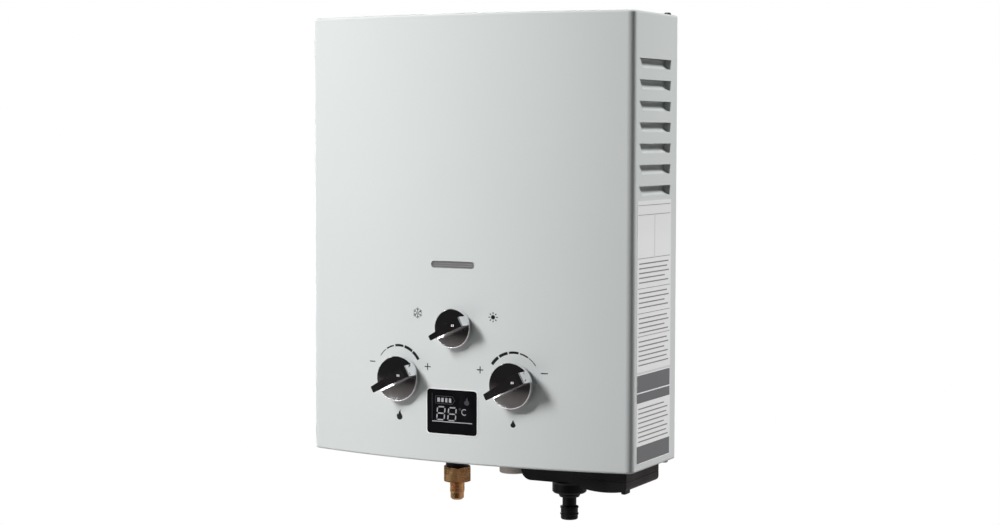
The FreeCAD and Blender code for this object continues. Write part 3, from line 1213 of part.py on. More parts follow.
def make_cold_feed_pipe():
    z = KNOB_HEIGHT + WATER_PORT_RISE - TUBE_SOCKET + SEAT_CLEARANCE
    turn_z = KNOB_HEIGHT + WATER_PORT_RISE + PIPE_BEND + 2
    points = [vec(WATER_KNOB_X, FRONT_PASS_Y, z), vec(WATER_KNOB_X, FRONT_PASS_Y, turn_z),
              vec(RISER_X, FRONT_PASS_Y, turn_z), vec(RISER_X, FRONT_PASS_Y, TUBE_Z),
              vec(CHAMBER_HALF + TUBE_STUB, FRONT_PASS_Y, TUBE_Z)]
    return bent_pipe(points, TUBE_RADIUS, PIPE_BEND)


def make_hot_outlet_pipe():
    run_z = KNOB_HEIGHT + WATER_PORT_RISE + PIPE_BEND + 2
    behind_y = BACK_FACE - TUBE_RADIUS - SPIGOT_FLANGE_THICKNESS
    low_z = FLOOR_TOP + SPIGOT_SOCKET_RISE + PIPE_BEND
    points = [vec(-CHAMBER_HALF - TUBE_STUB, REAR_PASS_Y, TUBE_Z), vec(-RISER_X, REAR_PASS_Y, TUBE_Z),
              vec(-RISER_X, REAR_PASS_Y, run_z), vec(OUTLET_X, behind_y, run_z),
              vec(OUTLET_X, behind_y, low_z), vec(OUTLET_X, CONNECTOR_Y, low_z),
              vec(OUTLET_X, CONNECTOR_Y, FLOOR_TOP + SPIGOT_SOCKET_RISE - TUBE_SOCKET + SEAT_CLEARANCE)]
    return bent_pipe(points, TUBE_RADIUS, PIPE_BEND)


def make_hot_outlet_spigot():
    low = FLOOR_UNDER - SPIGOT_LENGTH
    flange_top = FLOOR_TOP + SPIGOT_FLANGE_THICKNESS
    top = FLOOR_TOP + SPIGOT_SOCKET_RISE
    socket = TUBE_RADIUS + SEAT_CLEARANCE
    shelf = top - TUBE_SOCKET
    return turned(OUTLET_X, CONNECTOR_Y, [
        (SPIGOT_BORE_RADIUS, low), (SPIGOT_THREAD_RADIUS - SPIGOT_CHAMFER, low),
        (SPIGOT_THREAD_RADIUS, low + SPIGOT_CHAMFER),
        (SPIGOT_THREAD_RADIUS, FLOOR_TOP), (SPIGOT_FLANGE_RADIUS, FLOOR_TOP),
        (SPIGOT_FLANGE_RADIUS, flange_top), (SPIGOT_SOCKET_RADIUS, flange_top),
        (SPIGOT_SOCKET_RADIUS, top), (socket, top), (socket, shelf), (socket - SPIGOT_SOCKET_SHELF, shelf),
        (socket - SPIGOT_SOCKET_SHELF, flange_top), (SPIGOT_BORE_RADIUS, FLOOR_TOP)])


def make_outlet_cap():
    inner = SPIGOT_THREAD_RADIUS + CAP_CLEARANCE
    outer = inner + CAP_WALL
    top = FLOOR_UNDER - CAP_SEAT_GAP
    end = FLOOR_UNDER - SPIGOT_LENGTH - CAP_CLEARANCE
    low = end - CAP_WALL
    turn = CAP_RIM * (1 - math.sin(math.pi / 4))
    return turned(OUTLET_X, CONNECTOR_Y, [
        (0, low + CAP_DISH), (outer - CAP_RIM - 2 * CAP_DISH, low + CAP_DISH),
        (outer - CAP_RIM - CAP_DISH, low), (outer - CAP_RIM, low),
        ((outer - turn, low + turn), (outer, low + CAP_RIM)),
        (outer, top), (inner, top), (inner, end), (0, end)])


def make_inlet_shroud():
    x0 = INLET_X - SHROUD_LEFT_REACH
    nose = (FLOOR_UNDER - SHROUD_BOTTOM) / 2
    y0 = -SHROUD_FRONT
    y1 = -SHROUD_REAR
    x1 = INLET_X + SHROUD_RIGHT_REACH
    bulge = nose * (1 - math.sin(math.pi / 4))
    plate = outline_face([
        vec(x1, y0, FLOOR_UNDER), vec(x0 + nose, y0, FLOOR_UNDER),
        (vec(x0 + bulge, y0, FLOOR_UNDER - bulge), vec(x0, y0, FLOOR_UNDER - nose)),
        (vec(x0 + bulge, y0, SHROUD_BOTTOM + bulge), vec(x0 + nose, y0, SHROUD_BOTTOM)),
        vec(x1, y0, SHROUD_BOTTOM)]).extrude(vec(0, y1 - y0, 0))
    flare = SHROUD_BOSS_FLARE
    sweep = flare * (1 - math.sin(math.pi / 4))
    boss = turned(INLET_X, CONNECTOR_Y, [
        (0, BOSS_BOTTOM), (SHROUD_BOSS_RADIUS - SHROUD_BOSS_CHAMFER, BOSS_BOTTOM),
        (SHROUD_BOSS_RADIUS, BOSS_BOTTOM + SHROUD_BOSS_CHAMFER), (SHROUD_BOSS_RADIUS, SHROUD_BOTTOM - flare),
        ((SHROUD_BOSS_RADIUS + sweep, SHROUD_BOTTOM - sweep), (SHROUD_BOSS_RADIUS + flare, SHROUD_BOTTOM)),
        (SHROUD_BOSS_RADIUS, SHROUD_BOTTOM + 1), (0, SHROUD_BOTTOM + 1)])
    bore = rod_z(NIPPLE_SHANK_RADIUS + SEAT_CLEARANCE, BOSS_BOTTOM - 1, FLOOR_UNDER + 1, INLET_X, CONNECTOR_Y)
    return join(plate, boss).cut(bore)


def make_hose_nipple():
    top = FLOOR_UNDER + NIPPLE_SHANK_RISE
    collar_low = BOSS_BOTTOM - NIPPLE_COLLAR_LENGTH
    neck_low = collar_low - NIPPLE_NECK_LENGTH
    low = neck_low - NIPPLE_HEAD_LENGTH
    proud = NIPPLE_HEAD_RADIUS + NIPPLE_RIDGE
    ridge_z = neck_low - NIPPLE_RIDGE_DROP
    half = NIPPLE_RIDGE_WIDTH / 2
    shoulder = neck_low - NIPPLE_SHOULDER
    turn = NIPPLE_END_ROUND * (1 - math.sin(math.pi / 4))
    return turned(INLET_X, CONNECTOR_Y, [
        (NIPPLE_BORE_RADIUS, low), (NIPPLE_HEAD_RADIUS - NIPPLE_END_ROUND, low),
        ((NIPPLE_HEAD_RADIUS - turn, low + turn), (NIPPLE_HEAD_RADIUS, low + NIPPLE_END_ROUND)),
        (NIPPLE_HEAD_RADIUS, ridge_z - 2 * half), (proud, ridge_z - half), (proud, ridge_z + half),
        (NIPPLE_HEAD_RADIUS, ridge_z + 2 * half), (NIPPLE_HEAD_RADIUS, shoulder - half), (proud, shoulder),
        (proud, neck_low - NIPPLE_CHAMFER), (NIPPLE_NECK_RADIUS, neck_low), (NIPPLE_NECK_RADIUS, collar_low),
        (NIPPLE_COLLAR_RADIUS - NIPPLE_CHAMFER, collar_low),
        (NIPPLE_COLLAR_RADIUS, collar_low + NIPPLE_COLLAR_LEAD),
        (NIPPLE_COLLAR_RADIUS, BOSS_BOTTOM), (NIPPLE_SHANK_RADIUS, BOSS_BOTTOM),
        (NIPPLE_SHANK_RADIUS, top), (NIPPLE_BORE_RADIUS, top)])


# Battery box

def hinge_spans():
    """X spans of the left, middle and right hinge knuckles."""
    x0 = BATTERY_LEFT + HINGE_END_MARGIN
    x1 = BATTERY_RIGHT - HINGE_END_MARGIN
    left = (x0, x0 + HINGE_KNUCKLE_LENGTH)
    right = (x1 - HINGE_KNUCKLE_LENGTH, x1)
    middle = (left[1] + HINGE_SIDE_PLAY, right[0] - HINGE_SIDE_PLAY)
    return left, middle, right


def hinge_knuckle(span, web_low, web_high):
    """A knuckle behind the box with a web that reaches the rear wall."""
    barrel = rod_x(HINGE_KNUCKLE_RADIUS, span[0], span[1], HINGE_Y, SEAM_Z)
    web = block(span[0], span[1], BATTERY_Y1 - BATTERY_WALL / 2, HINGE_Y, web_low, web_high)
    return join(barrel, web)


def make_battery_box():
    low = SEAM_Z + LID_SEAM / 2
    outer = block(BATTERY_LEFT, BATTERY_RIGHT, BATTERY_Y0, BATTERY_Y1, low, BATTERY_TOP)
    hollow = block(BATTERY_LEFT + BATTERY_WALL, BATTERY_RIGHT - BATTERY_WALL, BATTERY_Y0 + BATTERY_WALL,
                   BATTERY_Y1 - BATTERY_WALL, low - 1, BATTERY_TOP - BATTERY_WALL)
    rim = block(BATTERY_LEFT - BATTERY_RIM, BATTERY_RIGHT + BATTERY_RIM / 2, BATTERY_Y0 - BATTERY_RIM,
                BATTERY_Y1 + BATTERY_RIM, FLOOR_TOP, FLOOR_TOP + BATTERY_RIM_THICKNESS)
    left, middle, right = hinge_spans()
    high = SEAM_Z + HINGE_KNUCKLE_RADIUS
    box = join(outer, rim, hinge_knuckle(left, low, high), hinge_knuckle(right, low, high))
    pin_hole = rod_x(HINGE_PIN_RADIUS + SEAT_CLEARANCE / 2, left[0] - 1, right[1] + 1, HINGE_Y, SEAM_Z)
    return box.cut([hollow, pin_hole])


def lid_prism(inset, y0, y1, low, high):
    """The lid's section along its length: upright sides, round lower corners, crowned floor."""
    x0 = BATTERY_LEFT + inset
    x1 = BATTERY_RIGHT - inset
    corner = LID_CORNER_RADIUS - inset
    turn = corner * (1 - math.sin(math.pi / 4))
    middle = (x0 + x1) / 2
    points = [vec(x0, y0, high), vec(x0, y0, low + corner),
              (vec(x0 + turn, y0, low + turn), vec(x0 + corner, y0, low)),
              (vec(middle, y0, low - LID_CROWN), vec(x1 - corner, y0, low)),
              (vec(x1 - turn, y0, low + turn), vec(x1, y0, low + corner)), vec(x1, y0, high)]
    return outline_face(points).extrude(vec(0, y1 - y0, 0))


def make_battery_lid():
    """The lower half of the box: a tray with a finger tab, a snap tongue and the middle knuckle."""
    high = SEAM_Z - LID_SEAM / 2
    low = -BATTERY_DROP
    wall = BATTERY_WALL
    shell = lid_prism(0, BATTERY_Y0, BATTERY_Y1, low, high)
    hollow = lid_prism(wall, BATTERY_Y0 + wall, BATTERY_Y1 - wall, low + wall, high + 1)
    tab = block(BATTERY_RIGHT - LID_TAB_WIDTH, BATTERY_RIGHT - wall, BATTERY_Y0 + wall,
                BATTERY_Y0 + wall + LID_TAB_LENGTH, low - LID_TAB_DROP, low + LID_CORNER_RADIUS)
    tab = tab.makeFillet(LID_TAB_ROUND, [edge for edge in tab.Edges if edge.BoundBox.ZMax < low])
    tongue_x = BATTERY_RIGHT - wall - LID_SEAM
    tongue_y = BATTERY_Y0 + LID_TAB_LENGTH
    tongue = block(tongue_x - wall, tongue_x, tongue_y, tongue_y + LID_TAB_LENGTH,
                   low + LID_CORNER_RADIUS, SEAM_Z + LID_TONGUE_RISE)
    rib = block(tongue_x - wall, BATTERY_RIGHT - wall / 2, tongue_y, tongue_y + LID_TAB_LENGTH,
                low + LID_CORNER_RADIUS, high - 1)
    middle = hinge_spans()[1]
    knuckle = hinge_knuckle(middle, SEAM_Z - HINGE_KNUCKLE_RADIUS, high)
    bore = rod_x(HINGE_PIN_RADIUS + RUNNING_CLEARANCE, middle[0] - 1, middle[1] + 1, HINGE_Y, SEAM_Z)
    return join(join(shell, tab).cut(hollow), tongue, rib, knuckle).cut(bore)


def make_lid_hinge_pin():
    left, middle, right = hinge_spans()
    return rod_x(HINGE_PIN_RADIUS, left[0], right[1], HINGE_Y, SEAM_Z)


def make_battery_cells():
    cells = []
    x = (BATTERY_LEFT + BATTERY_RIGHT) / 2
    y0 = (BATTERY_Y0 + BATTERY_Y1 - CELL_LENGTH) / 2
    for z, flip in ((LOWER_CELL_Z, False), (UPPER_CELL_Z, True)):
        can = rod_y(CELL_RADIUS, y0 + CELL_BUTTON_LENGTH, y0 + CELL_LENGTH, x, z)
        button = rod_y(CELL_BUTTON_RADIUS, y0, y0 + CELL_BUTTON_LENGTH + 1, x, z)
        cell = join(can, button)
        if flip:
            cell.rotate(vec(x, y0 + CELL_LENGTH / 2, z), ALONG_Z, 180)
        cells.append(cell)
    return group(cells)


def make_battery_contacts():
    x0 = BATTERY_LEFT + BATTERY_WALL + CELL_GAP
    x1 = BATTERY_RIGHT - BATTERY_WALL - CELL_GAP
    low = SEAM_Z + 1
    high = BATTERY_TOP - BATTERY_WALL - CELL_GAP
    y0 = BATTERY_Y0 + BATTERY_WALL
    y1 = BATTERY_Y1 - BATTERY_WALL
    return group([block(x0, x1, y0, y0 + CONTACT_THICKNESS, low, high),
                  block(x0, x1, y1 - CONTACT_THICKNESS, y1, low, high)])


def build():
    os.makedirs("parts", exist_ok=True)
    save("front_cover", make_front_cover())
    save("chassis", make_chassis())
    save("cover_screws", make_cover_screws())
    save("viewing_mesh", make_viewing_mesh())
    save("display_lens", make_display_lens())
    save("display_housing", make_display_housing())
    save("display_board", make_display_board())
    knobs = (("gas", GAS_KNOB_X, KNOB_HEIGHT, KNOB_RADIUS, KNOB_GRIP_NARROW, KNOB_GRIP_WIDE),
             ("water", WATER_KNOB_X, KNOB_HEIGHT, KNOB_RADIUS, KNOB_GRIP_NARROW, KNOB_GRIP_WIDE),
             ("season", CONTROL_CENTRE_X, SEASON_KNOB_HEIGHT, SEASON_KNOB_RADIUS,
              SEASON_GRIP_NARROW, SEASON_GRIP_WIDE))
    for name, x, z, radius, narrow, wide in knobs:
        save(name + "_knob", make_knob(x, z, radius, narrow, wide))
        save(name + "_spindle", make_spindle(x, z, radius))
    save("gas_inlet_fitting", make_gas_inlet_fitting())
    save("gas_inlet_gland", make_gas_inlet_gland())
    save("gas_valve_body", make_gas_valve_body())
    save("solenoid_valve", make_solenoid_valve())
    save("season_valve_body", make_season_valve_body())
    save("gas_manifold", make_gas_manifold())
    save("injectors", make_injectors())
    save("burner_bars", make_burner_bars())
    save("burner_frame", make_burner_frame())
    save("combustion_chamber", make_combustion_chamber())
    save("exchanger_casing", make_exchanger_casing())
    save("exchanger_fins", make_exchanger_fins())
    save("exchanger_tube", make_exchanger_tube())
    save("flue_hood", make_flue_hood())
    save("ignition_electrode", make_electrode(ELECTRODE_SPREAD))
    save("flame_sensor", make_electrode(-ELECTRODE_SPREAD))
    save("electrode_brackets", make_electrode_bracket())
    save("overheat_thermostat", make_overheat_thermostat())
    save("ignition_controller", make_ignition_controller())
    save("tilt_switch", make_tilt_switch())
    save("water_valve_body", make_water_valve_body())
    save("diaphragm", make_diaphragm())
    save("diaphragm_cover", make_diaphragm_cover())
    save("housing_screws", make_housing_screws())
    save("linkage_rod", make_linkage_rod())
    save("micro_switch", make_micro_switch())
    save("switch_lever", make_switch_lever())
    save("switch_bracket", make_switch_bracket())
    save("cold_feed_pipe", make_cold_feed_pipe())
    save("hot_outlet_pipe", make_hot_outlet_pipe())
    save("hot_outlet_spigot", make_hot_outlet_spigot())
    save("outlet_cap", make_outlet_cap())
    save("inlet_shroud", make_inlet_shroud())
    save("hose_nipple", make_hose_nipple())
    save("battery_box", make_battery_box())
    save("battery_lid", make_battery_lid())
    save("lid_hinge_pin", make_lid_hinge_pin())
    save("battery_cells", make_battery_cells())
    save("battery_contacts", make_battery_contacts())


build()
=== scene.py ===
# %% [markdown]
# # A portable gas water heater
# This heater hangs on a wall: a white sheet casing with a gently curved front, three metallised
# knobs, a small black display and the gas and water connections under its floor. The CAD frame
# already holds every piece at its true size. Here the pieces get their finishes, and the small
# things that a solid model leaves out are added: the perforated strip behind the flame slot,
# threads, screw recesses, printed marks and blank plates.

# %% Load the frame
import json
import math

import bmesh
import bpy
from mathutils import Matrix, Vector


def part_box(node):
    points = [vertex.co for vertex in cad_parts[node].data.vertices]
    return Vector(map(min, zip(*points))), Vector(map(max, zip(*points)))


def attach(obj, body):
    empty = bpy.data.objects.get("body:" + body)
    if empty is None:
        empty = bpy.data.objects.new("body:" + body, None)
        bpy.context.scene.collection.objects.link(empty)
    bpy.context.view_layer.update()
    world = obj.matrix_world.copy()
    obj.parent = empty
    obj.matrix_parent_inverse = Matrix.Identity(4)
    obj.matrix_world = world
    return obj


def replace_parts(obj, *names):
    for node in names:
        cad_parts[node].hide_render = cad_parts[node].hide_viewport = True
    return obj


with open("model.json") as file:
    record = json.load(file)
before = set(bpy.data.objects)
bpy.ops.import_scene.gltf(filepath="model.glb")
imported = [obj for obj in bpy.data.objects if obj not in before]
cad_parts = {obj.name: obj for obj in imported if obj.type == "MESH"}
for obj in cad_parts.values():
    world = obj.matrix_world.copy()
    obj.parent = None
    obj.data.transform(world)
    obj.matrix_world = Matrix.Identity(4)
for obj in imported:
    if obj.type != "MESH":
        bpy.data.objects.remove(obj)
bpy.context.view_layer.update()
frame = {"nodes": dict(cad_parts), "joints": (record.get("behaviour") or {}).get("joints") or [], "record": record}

MM = 0.001
print("nodes:", len(frame["nodes"]))

# %% [markdown]
# ## The curved front
# The front panel is a piece of a wide upright cylinder, so anything printed on it or set behind
# it has to follow that curve. The cylinder is worked out once from the box of the cover and the
# depth of its flat sides, and one small function gives the panel's Y at any X.

# %% The front panel as a cylinder
cover_low, cover_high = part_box("front_cover")
SIDE_DEPTH = 87.0 * MM
half_width = cover_high.x
bulge = -cover_low.y - SIDE_DEPTH
panel_radius = (half_width ** 2 + bulge ** 2) / (2 * bulge)
panel_centre_y = panel_radius + cover_low.y


def panel_y(x, proud=0.0):
    return panel_centre_y - math.sqrt((panel_radius + proud) ** 2 - x ** 2)


print("panel radius in mm:", round(panel_radius / MM, 1))

# %% [markdown]
# ## Node trees in a few words
# Every finish is a small network of nodes. Written out in full, each link takes a line, so helpers
# do the wiring: put adds a node and feeds its inputs, new_group makes a node group with named
# sockets, and the small ones stand for sums, noises and mixes.

# %% Helpers for node trees
def put(tree, kind, inputs=None, **settings):
    """Adds a node. An input may be a plain value or another node's output."""
    made = tree.nodes.new(kind)
    for key, value in settings.items():
        setattr(made, key, value)
    for key, value in (inputs or {}).items():
        if isinstance(value, bpy.types.NodeSocket):
            tree.links.new(value, made.inputs[key])
        else:
            made.inputs[key].default_value = value
    return made


def new_group(name, kind, inputs, outputs):
    """A node group. Each input has its value, or the name of its type where it has no value."""
    tree = bpy.data.node_groups.new(name, kind)
    for label, value in inputs.items():
        if isinstance(value, tuple):
            socket = "Vector" if len(value) == 3 else "Color"
        else:
            socket = {str: value, int: "Int", float: "Float"}[type(value)]
        made = tree.interface.new_socket(label, in_out="INPUT", socket_type="NodeSocket" + socket)
        if not isinstance(value, str):
            made.default_value = value
    for label, socket in outputs.items():
        tree.interface.new_socket(label, in_out="OUTPUT", socket_type="NodeSocket" + socket)
    return tree, put(tree, "NodeGroupInput").outputs, put(tree, "NodeGroupOutput").inputs


def between(tree, value, low, high, new_low, new_high):
    """The value carried from one range to another, and held inside it."""
    return put(tree, "ShaderNodeMapRange", {"Value": value, "From Min": low, "From Max": high,
                                            "To Min": new_low, "To Max": new_high}).outputs[0]


def calc(tree, operation, a, b=0.0):
    return put(tree, "ShaderNodeMath", {0: a, 1: b}, operation=operation).outputs[0]


def plus(tree, a, b):
    return calc(tree, "ADD", a, b)


def minus(tree, a, b):
    return calc(tree, "SUBTRACT", a, b)


def times(tree, a, b):
    return calc(tree, "MULTIPLY", a, b)


def vector_calc(tree, operation, a, b):
    return put(tree, "ShaderNodeVectorMath", {0: a, 1: b}, operation=operation).outputs[0]


def blend_colour(tree, share, a, b):
    return put(tree, "ShaderNodeMix", {0: share, 6: a, 7: b}, data_type="RGBA").outputs[2]


def object_spot(tree):
    return put(tree, "ShaderNodeTexCoord").outputs["Object"]


def noise(tree, spot, scale, detail):
    made = put(tree, "ShaderNodeTexNoise", {"Vector": spot, "Scale": scale, "Detail": detail})
    return made.outputs[0]


SKIN_OUT = {"Color": "Color", "Roughness": "Float", "Height": "Float"}


def finish_skin(tree, given, out, colour, drift, low, high, height):
    """Links what a skin puts out. Its roughness drifts between two shares of the given one."""
    gloss = times(tree, given["Roughness"], between(tree, drift, 0.3, 0.7, low, high))
    for label, socket in zip(SKIN_OUT, (colour, gloss, height)):
        tree.links.new(socket, out[label])
    print("group:", tree.name)


# %% [markdown]
# ## Sprayed paint
# Baked paint on sheet metal dries with a very fine waviness, called orange peel, and its gloss
# drifts a little from place to place. A small noise goes to bump, a broad one moves colour and
# roughness by a few per cent. Both read object coordinates, so they stay on a sheet that moves.

# %% Group: paint skin
tree, given, out = new_group(
    "Paint Skin", "ShaderNodeTree",
    {"Color": (0.7, 0.7, 0.7, 1), "Mottle": 0.015, "Peel Size": 0.0012, "Roughness": 0.35}, SKIN_OUT)
spot = object_spot(tree)
peel = noise(tree, spot, calc(tree, "DIVIDE", 1.0, given["Peel Size"]), 2.0)
drift = noise(tree, spot, 9.0, 3.0)
shift = times(tree, minus(tree, drift, 0.5), given["Mottle"])
value = plus(tree, times(tree, shift, 4.0), 1.0)
tinted = put(tree, "ShaderNodeHueSaturation", {"Value": value, "Color": given["Color"]})
finish_skin(tree, given, out, tinted.outputs[0], drift, 0.92, 1.1, peel)
paint_skin = tree

# %% [markdown]
# ## Moulded plastic
# A moulding copies the skin of its tool: fine cells give a leathery grain, and a slow noise gives
# patches of gloss where the tool is worn. Dust settles alike on every moulding.

# %% Group: moulded skin
tree, given, out = new_group(
    "Moulded Skin", "ShaderNodeTree",
    {"Color": (0.03, 0.03, 0.03, 1), "Dust Color": (0.2, 0.19, 0.18, 1), "Dust": 0.06,
     "Grain Size": 0.0006, "Roughness": 0.45}, SKIN_OUT)
spot = object_spot(tree)
fineness = calc(tree, "DIVIDE", 1.0, given["Grain Size"])
grain = put(tree, "ShaderNodeTexVoronoi", {"Vector": spot, "Scale": fineness}, feature="SMOOTH_F1")
patches = noise(tree, spot, 45.0, 4.0)
dusty = times(tree, between(tree, patches, 0.4, 0.7, 0.0, 1.0), given["Dust"])
colour = blend_colour(tree, dusty, given["Color"], given["Dust Color"])
finish_skin(tree, given, out, colour, patches, 0.85, 1.2, grain.outputs["Distance"])
moulded_skin = tree

# %% [markdown]
# ## Worked metal
# Rolled, drawn or turned metal has fine lines along the work, and it tarnishes in clouds. The
# lines are a noise squeezed along one axis: a Stroke of (1, 1, 60) gives lines across Z, as on a
# turned fitting. The clouds mix in a darker colour.

# %% Group: worked metal
tree, given, out = new_group(
    "Worked Metal", "ShaderNodeTree",
    {"Color": (0.6, 0.6, 0.6, 1), "Tarnish Color": (0.3, 0.25, 0.2, 1), "Tarnish": 0.3,
     "Stroke": (1, 1, 60), "Roughness": 0.3}, SKIN_OUT)
spot = object_spot(tree)
lines = noise(tree, vector_calc(tree, "MULTIPLY", spot, given["Stroke"]), 60.0, 4.0)
clouds = noise(tree, spot, 70.0, 5.0)
share = times(tree, between(tree, clouds, 0.35, 0.7, 0.0, 1.0), given["Tarnish"])
colour = blend_colour(tree, share, given["Color"], given["Tarnish Color"])
finish_skin(tree, given, out, colour, lines, 0.75, 1.3, lines)
worked_metal = tree

# %% [markdown]
# ## Finger marks
# Where glossy things are handled, their shine is dulled in soft patches. The group puts out a
# number to add to the roughness.

# %% Group: finger marks
tree, given, out = new_group(
    "Finger Marks", "ShaderNodeTree", {"Amount": 0.1, "Fineness": 90.0}, {"Roughness": "Float"})
smears = put(tree, "ShaderNodeTexNoise", {
    "Vector": object_spot(tree), "Scale": given["Fineness"], "Detail": 3.0, "Distortion": 0.6})
dulled = times(tree, between(tree, smears.outputs[0], 0.5, 0.72, 0.0, 1.0), given["Amount"])
tree.links.new(dulled, out["Roughness"])
finger_marks = tree
print("group:", finger_marks.name)

# %% [markdown]
# ## From group to finish
# A finish is a Principled shader fed by one of the groups. What is the same all over, such as
# metallic or coat, is set straight on the shader. What changes over the surface comes from the
# group: colour, roughness and, through a Bump node, the fine relief.

# %% Helper that makes a finish
def new_finish(name, group, values, bump, marks=0.0, **uniform):
    """A material from a skin group. bump is the relief in metres, marks adds finger marks."""
    material = bpy.data.materials.new(name)
    material.use_nodes = True
    tree = material.node_tree
    shader = tree.nodes["Principled BSDF"]
    skin = put(tree, "ShaderNodeGroup", node_tree=group)
    for label, value in values.items():
        skin.inputs[label].default_value = value
    for label, value in uniform.items():
        shader.inputs[label.replace("_", " ")].default_value = value
    tree.links.new(skin.outputs["Color"], shader.inputs["Base Color"])
    gloss = skin.outputs["Roughness"]
    if marks:
        smears = put(tree, "ShaderNodeGroup", node_tree=finger_marks)
        smears.inputs["Amount"].default_value = marks
        gloss = calc(tree, "ADD", gloss, smears.outputs["Roughness"])
    tree.links.new(gloss, shader.inputs["Roughness"])
    relief = put(tree, "ShaderNodeBump",
                 {"Height": skin.outputs["Height"], "Strength": 1.0, "Distance": bump})
    tree.links.new(relief.outputs[0], shader.inputs["Normal"])
    material.diffuse_color = tuple(values["Color"])
    return material


def rgb(red, green, blue):
    """A colour as it looks on a screen, 0 to 255, turned into the linear values that nodes use."""
    def linear(part):
        part = part / 255
        return part / 12.92 if part <= 0.04045 else ((part + 0.055) / 1.055) ** 2.4
    return (linear(red), linear(green), linear(blue), 1.0)


def painted(name, colour, mottle, roughness, bump, peel=0.0012, **more):
    values = {"Color": rgb(*colour), "Mottle": mottle, "Peel Size": peel, "Roughness": roughness}
    return new_finish(name, paint_skin, values, bump, **more)


def moulded(name, colour, dust_colour, dust, grain, roughness, bump, **more):
    values = {"Color": rgb(*colour), "Dust Color": rgb(*dust_colour), "Dust": dust,
              "Grain Size": grain, "Roughness": roughness}
    return new_finish(name, moulded_skin, values, bump, **more)


def metal(name, colour, tarnish_colour, tarnish, stroke, roughness, bump, Metallic=1.0, **more):
    values = {"Color": rgb(*colour), "Tarnish Color": rgb(*tarnish_colour), "Tarnish": tarnish,
              "Stroke": stroke, "Roughness": roughness}
    return new_finish(name, worked_metal, values, bump, Metallic=Metallic, **more)


# %% [markdown]
# ## Finishes of the casing
# The casing is steel with a satin, slightly cool white paint. The chassis behind it is bare
# zinc-plated sheet, whose spangle comes from metal lines in no special direction.

# %% Casing paint and plated sheet
finish = {}
finish["white_paint"] = painted(
    "casing_paint", (220, 224, 223), 0.008, 0.4, 0.00002, Coat_Weight=0.15, Coat_Roughness=0.3)
finish["zinc_sheet"] = metal(
    "plated_sheet", (190, 192, 192), (140, 142, 142), 0.35, (3.0, 3.0, 3.0), 0.36, 0.00003)
finish["stainless"] = metal(
    "brushed_steel", (196, 197, 196), (150, 146, 140), 0.2, (2.0, 40.0, 40.0), 0.28, 0.00002)

# %% [markdown]
# ## Finishes of the gas and water side
# Copper inside a heater darkens in clouds from the heat. Brass is turned on a lathe, so its lines
# run round the upright axis. The valve bodies are die cast, with the pebbly skin of a casting,
# and the electrodes are glazed ceramic.

# %% Copper, brass, castings and ceramic
finish["copper"] = metal(
    "heated_copper", (196, 120, 84), (106, 62, 46), 0.7, (4.0, 4.0, 4.0), 0.34, 0.00002)
finish["brass"] = metal(
    "turned_brass", (234, 186, 132), (182, 126, 82), 0.7, (2.0, 2.0, 60.0), 0.2, 0.00001, marks=0.1)
finish["cast_aluminium"] = moulded(
    "cast_alloy", (178, 179, 180), (120, 118, 114), 0.5, 0.0009, 0.5, 0.00006, Metallic=1.0)
finish["ceramic"] = moulded(
    "glazed_ceramic", (236, 230, 220), (180, 150, 120), 0.25, 0.0015, 0.18, 0.00001, Coat_Weight=0.6)

# %% [markdown]
# ## Plastics and rubber
# The shroud, hose nipple and battery box are black mouldings with a little grain. The lens is
# clear gloss black, almost without relief. The outlet cap is a soft, slightly pink cream plastic
# that lets some light in.

# %% Plastics and rubber
finish["black_plastic"] = moulded(
    "black_moulding", (17, 16, 18), (70, 68, 70), 0.1, 0.0007, 0.4, 0.00003, Specular_IOR_Level=0.25)
finish["black_gloss"] = moulded(
    "lens_black", (14, 14, 17), (60, 60, 64), 0.05, 0.002, 0.12, 0.000002, marks=0.1,
    Coat_Weight=0.5, Coat_Roughness=0.05)
finish["cream_plastic"] = moulded(
    "cream_moulding", (252, 234, 220), (206, 174, 156), 0.3, 0.001, 0.4, 0.00002,
    Subsurface_Weight=0.2)
finish["grey_plastic"] = moulded(
    "grey_moulding", (150, 152, 154), (90, 88, 86), 0.2, 0.0008, 0.5, 0.00003)
finish["rubber"] = moulded(
    "black_rubber", (34, 34, 34), (110, 108, 104), 0.4, 0.0005, 0.75, 0.00004)
finish["green_board"] = moulded(
    "circuit_board", (24, 92, 52), (70, 130, 80), 0.4, 0.0012, 0.3, 0.00003, Coat_Weight=0.4)

# %% [markdown]
# ## Wrap of the battery cells
# A dry cell has a printed wrap: one colour for most of its length and a band at the plus end.
# The band is cut from object coordinates: the two cells lie along Y and face opposite ways, so
# the band is on the end nearer the front for the lower one and at the back for the upper one.

# %% Cell wrap
BAND = 16.0 * MM
cells_low, cells_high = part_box("battery_cells")
cell_split = (cells_low.z + cells_high.z) / 2
finish["cell_can"] = painted(
    "cell_wrap", (52, 54, 60), 0.01, 0.25, 0.000005, marks=0.08, Coat_Weight=0.5)
wrap = finish["cell_can"].node_tree
where = put(wrap, "ShaderNodeSeparateXYZ", {0: object_spot(wrap)}).outputs
upper = calc(wrap, "GREATER_THAN", where[2], cell_split)
front_band = calc(wrap, "LESS_THAN", where[1], cells_low.y + BAND)
rear_band = calc(wrap, "GREATER_THAN", where[1], cells_high.y - BAND)
low_part = times(wrap, front_band, minus(wrap, 1.0, upper))
band = plus(wrap, low_part, times(wrap, rear_band, upper))
skin_colour = wrap.nodes["Group"].outputs["Color"]
wrapped = blend_colour(wrap, band, skin_colour, rgb(176, 112, 62))
wrap.links.new(wrapped, wrap.nodes["Principled BSDF"].inputs["Base Color"])
print("cell wrap split at mm", round(cell_split / MM, 1))

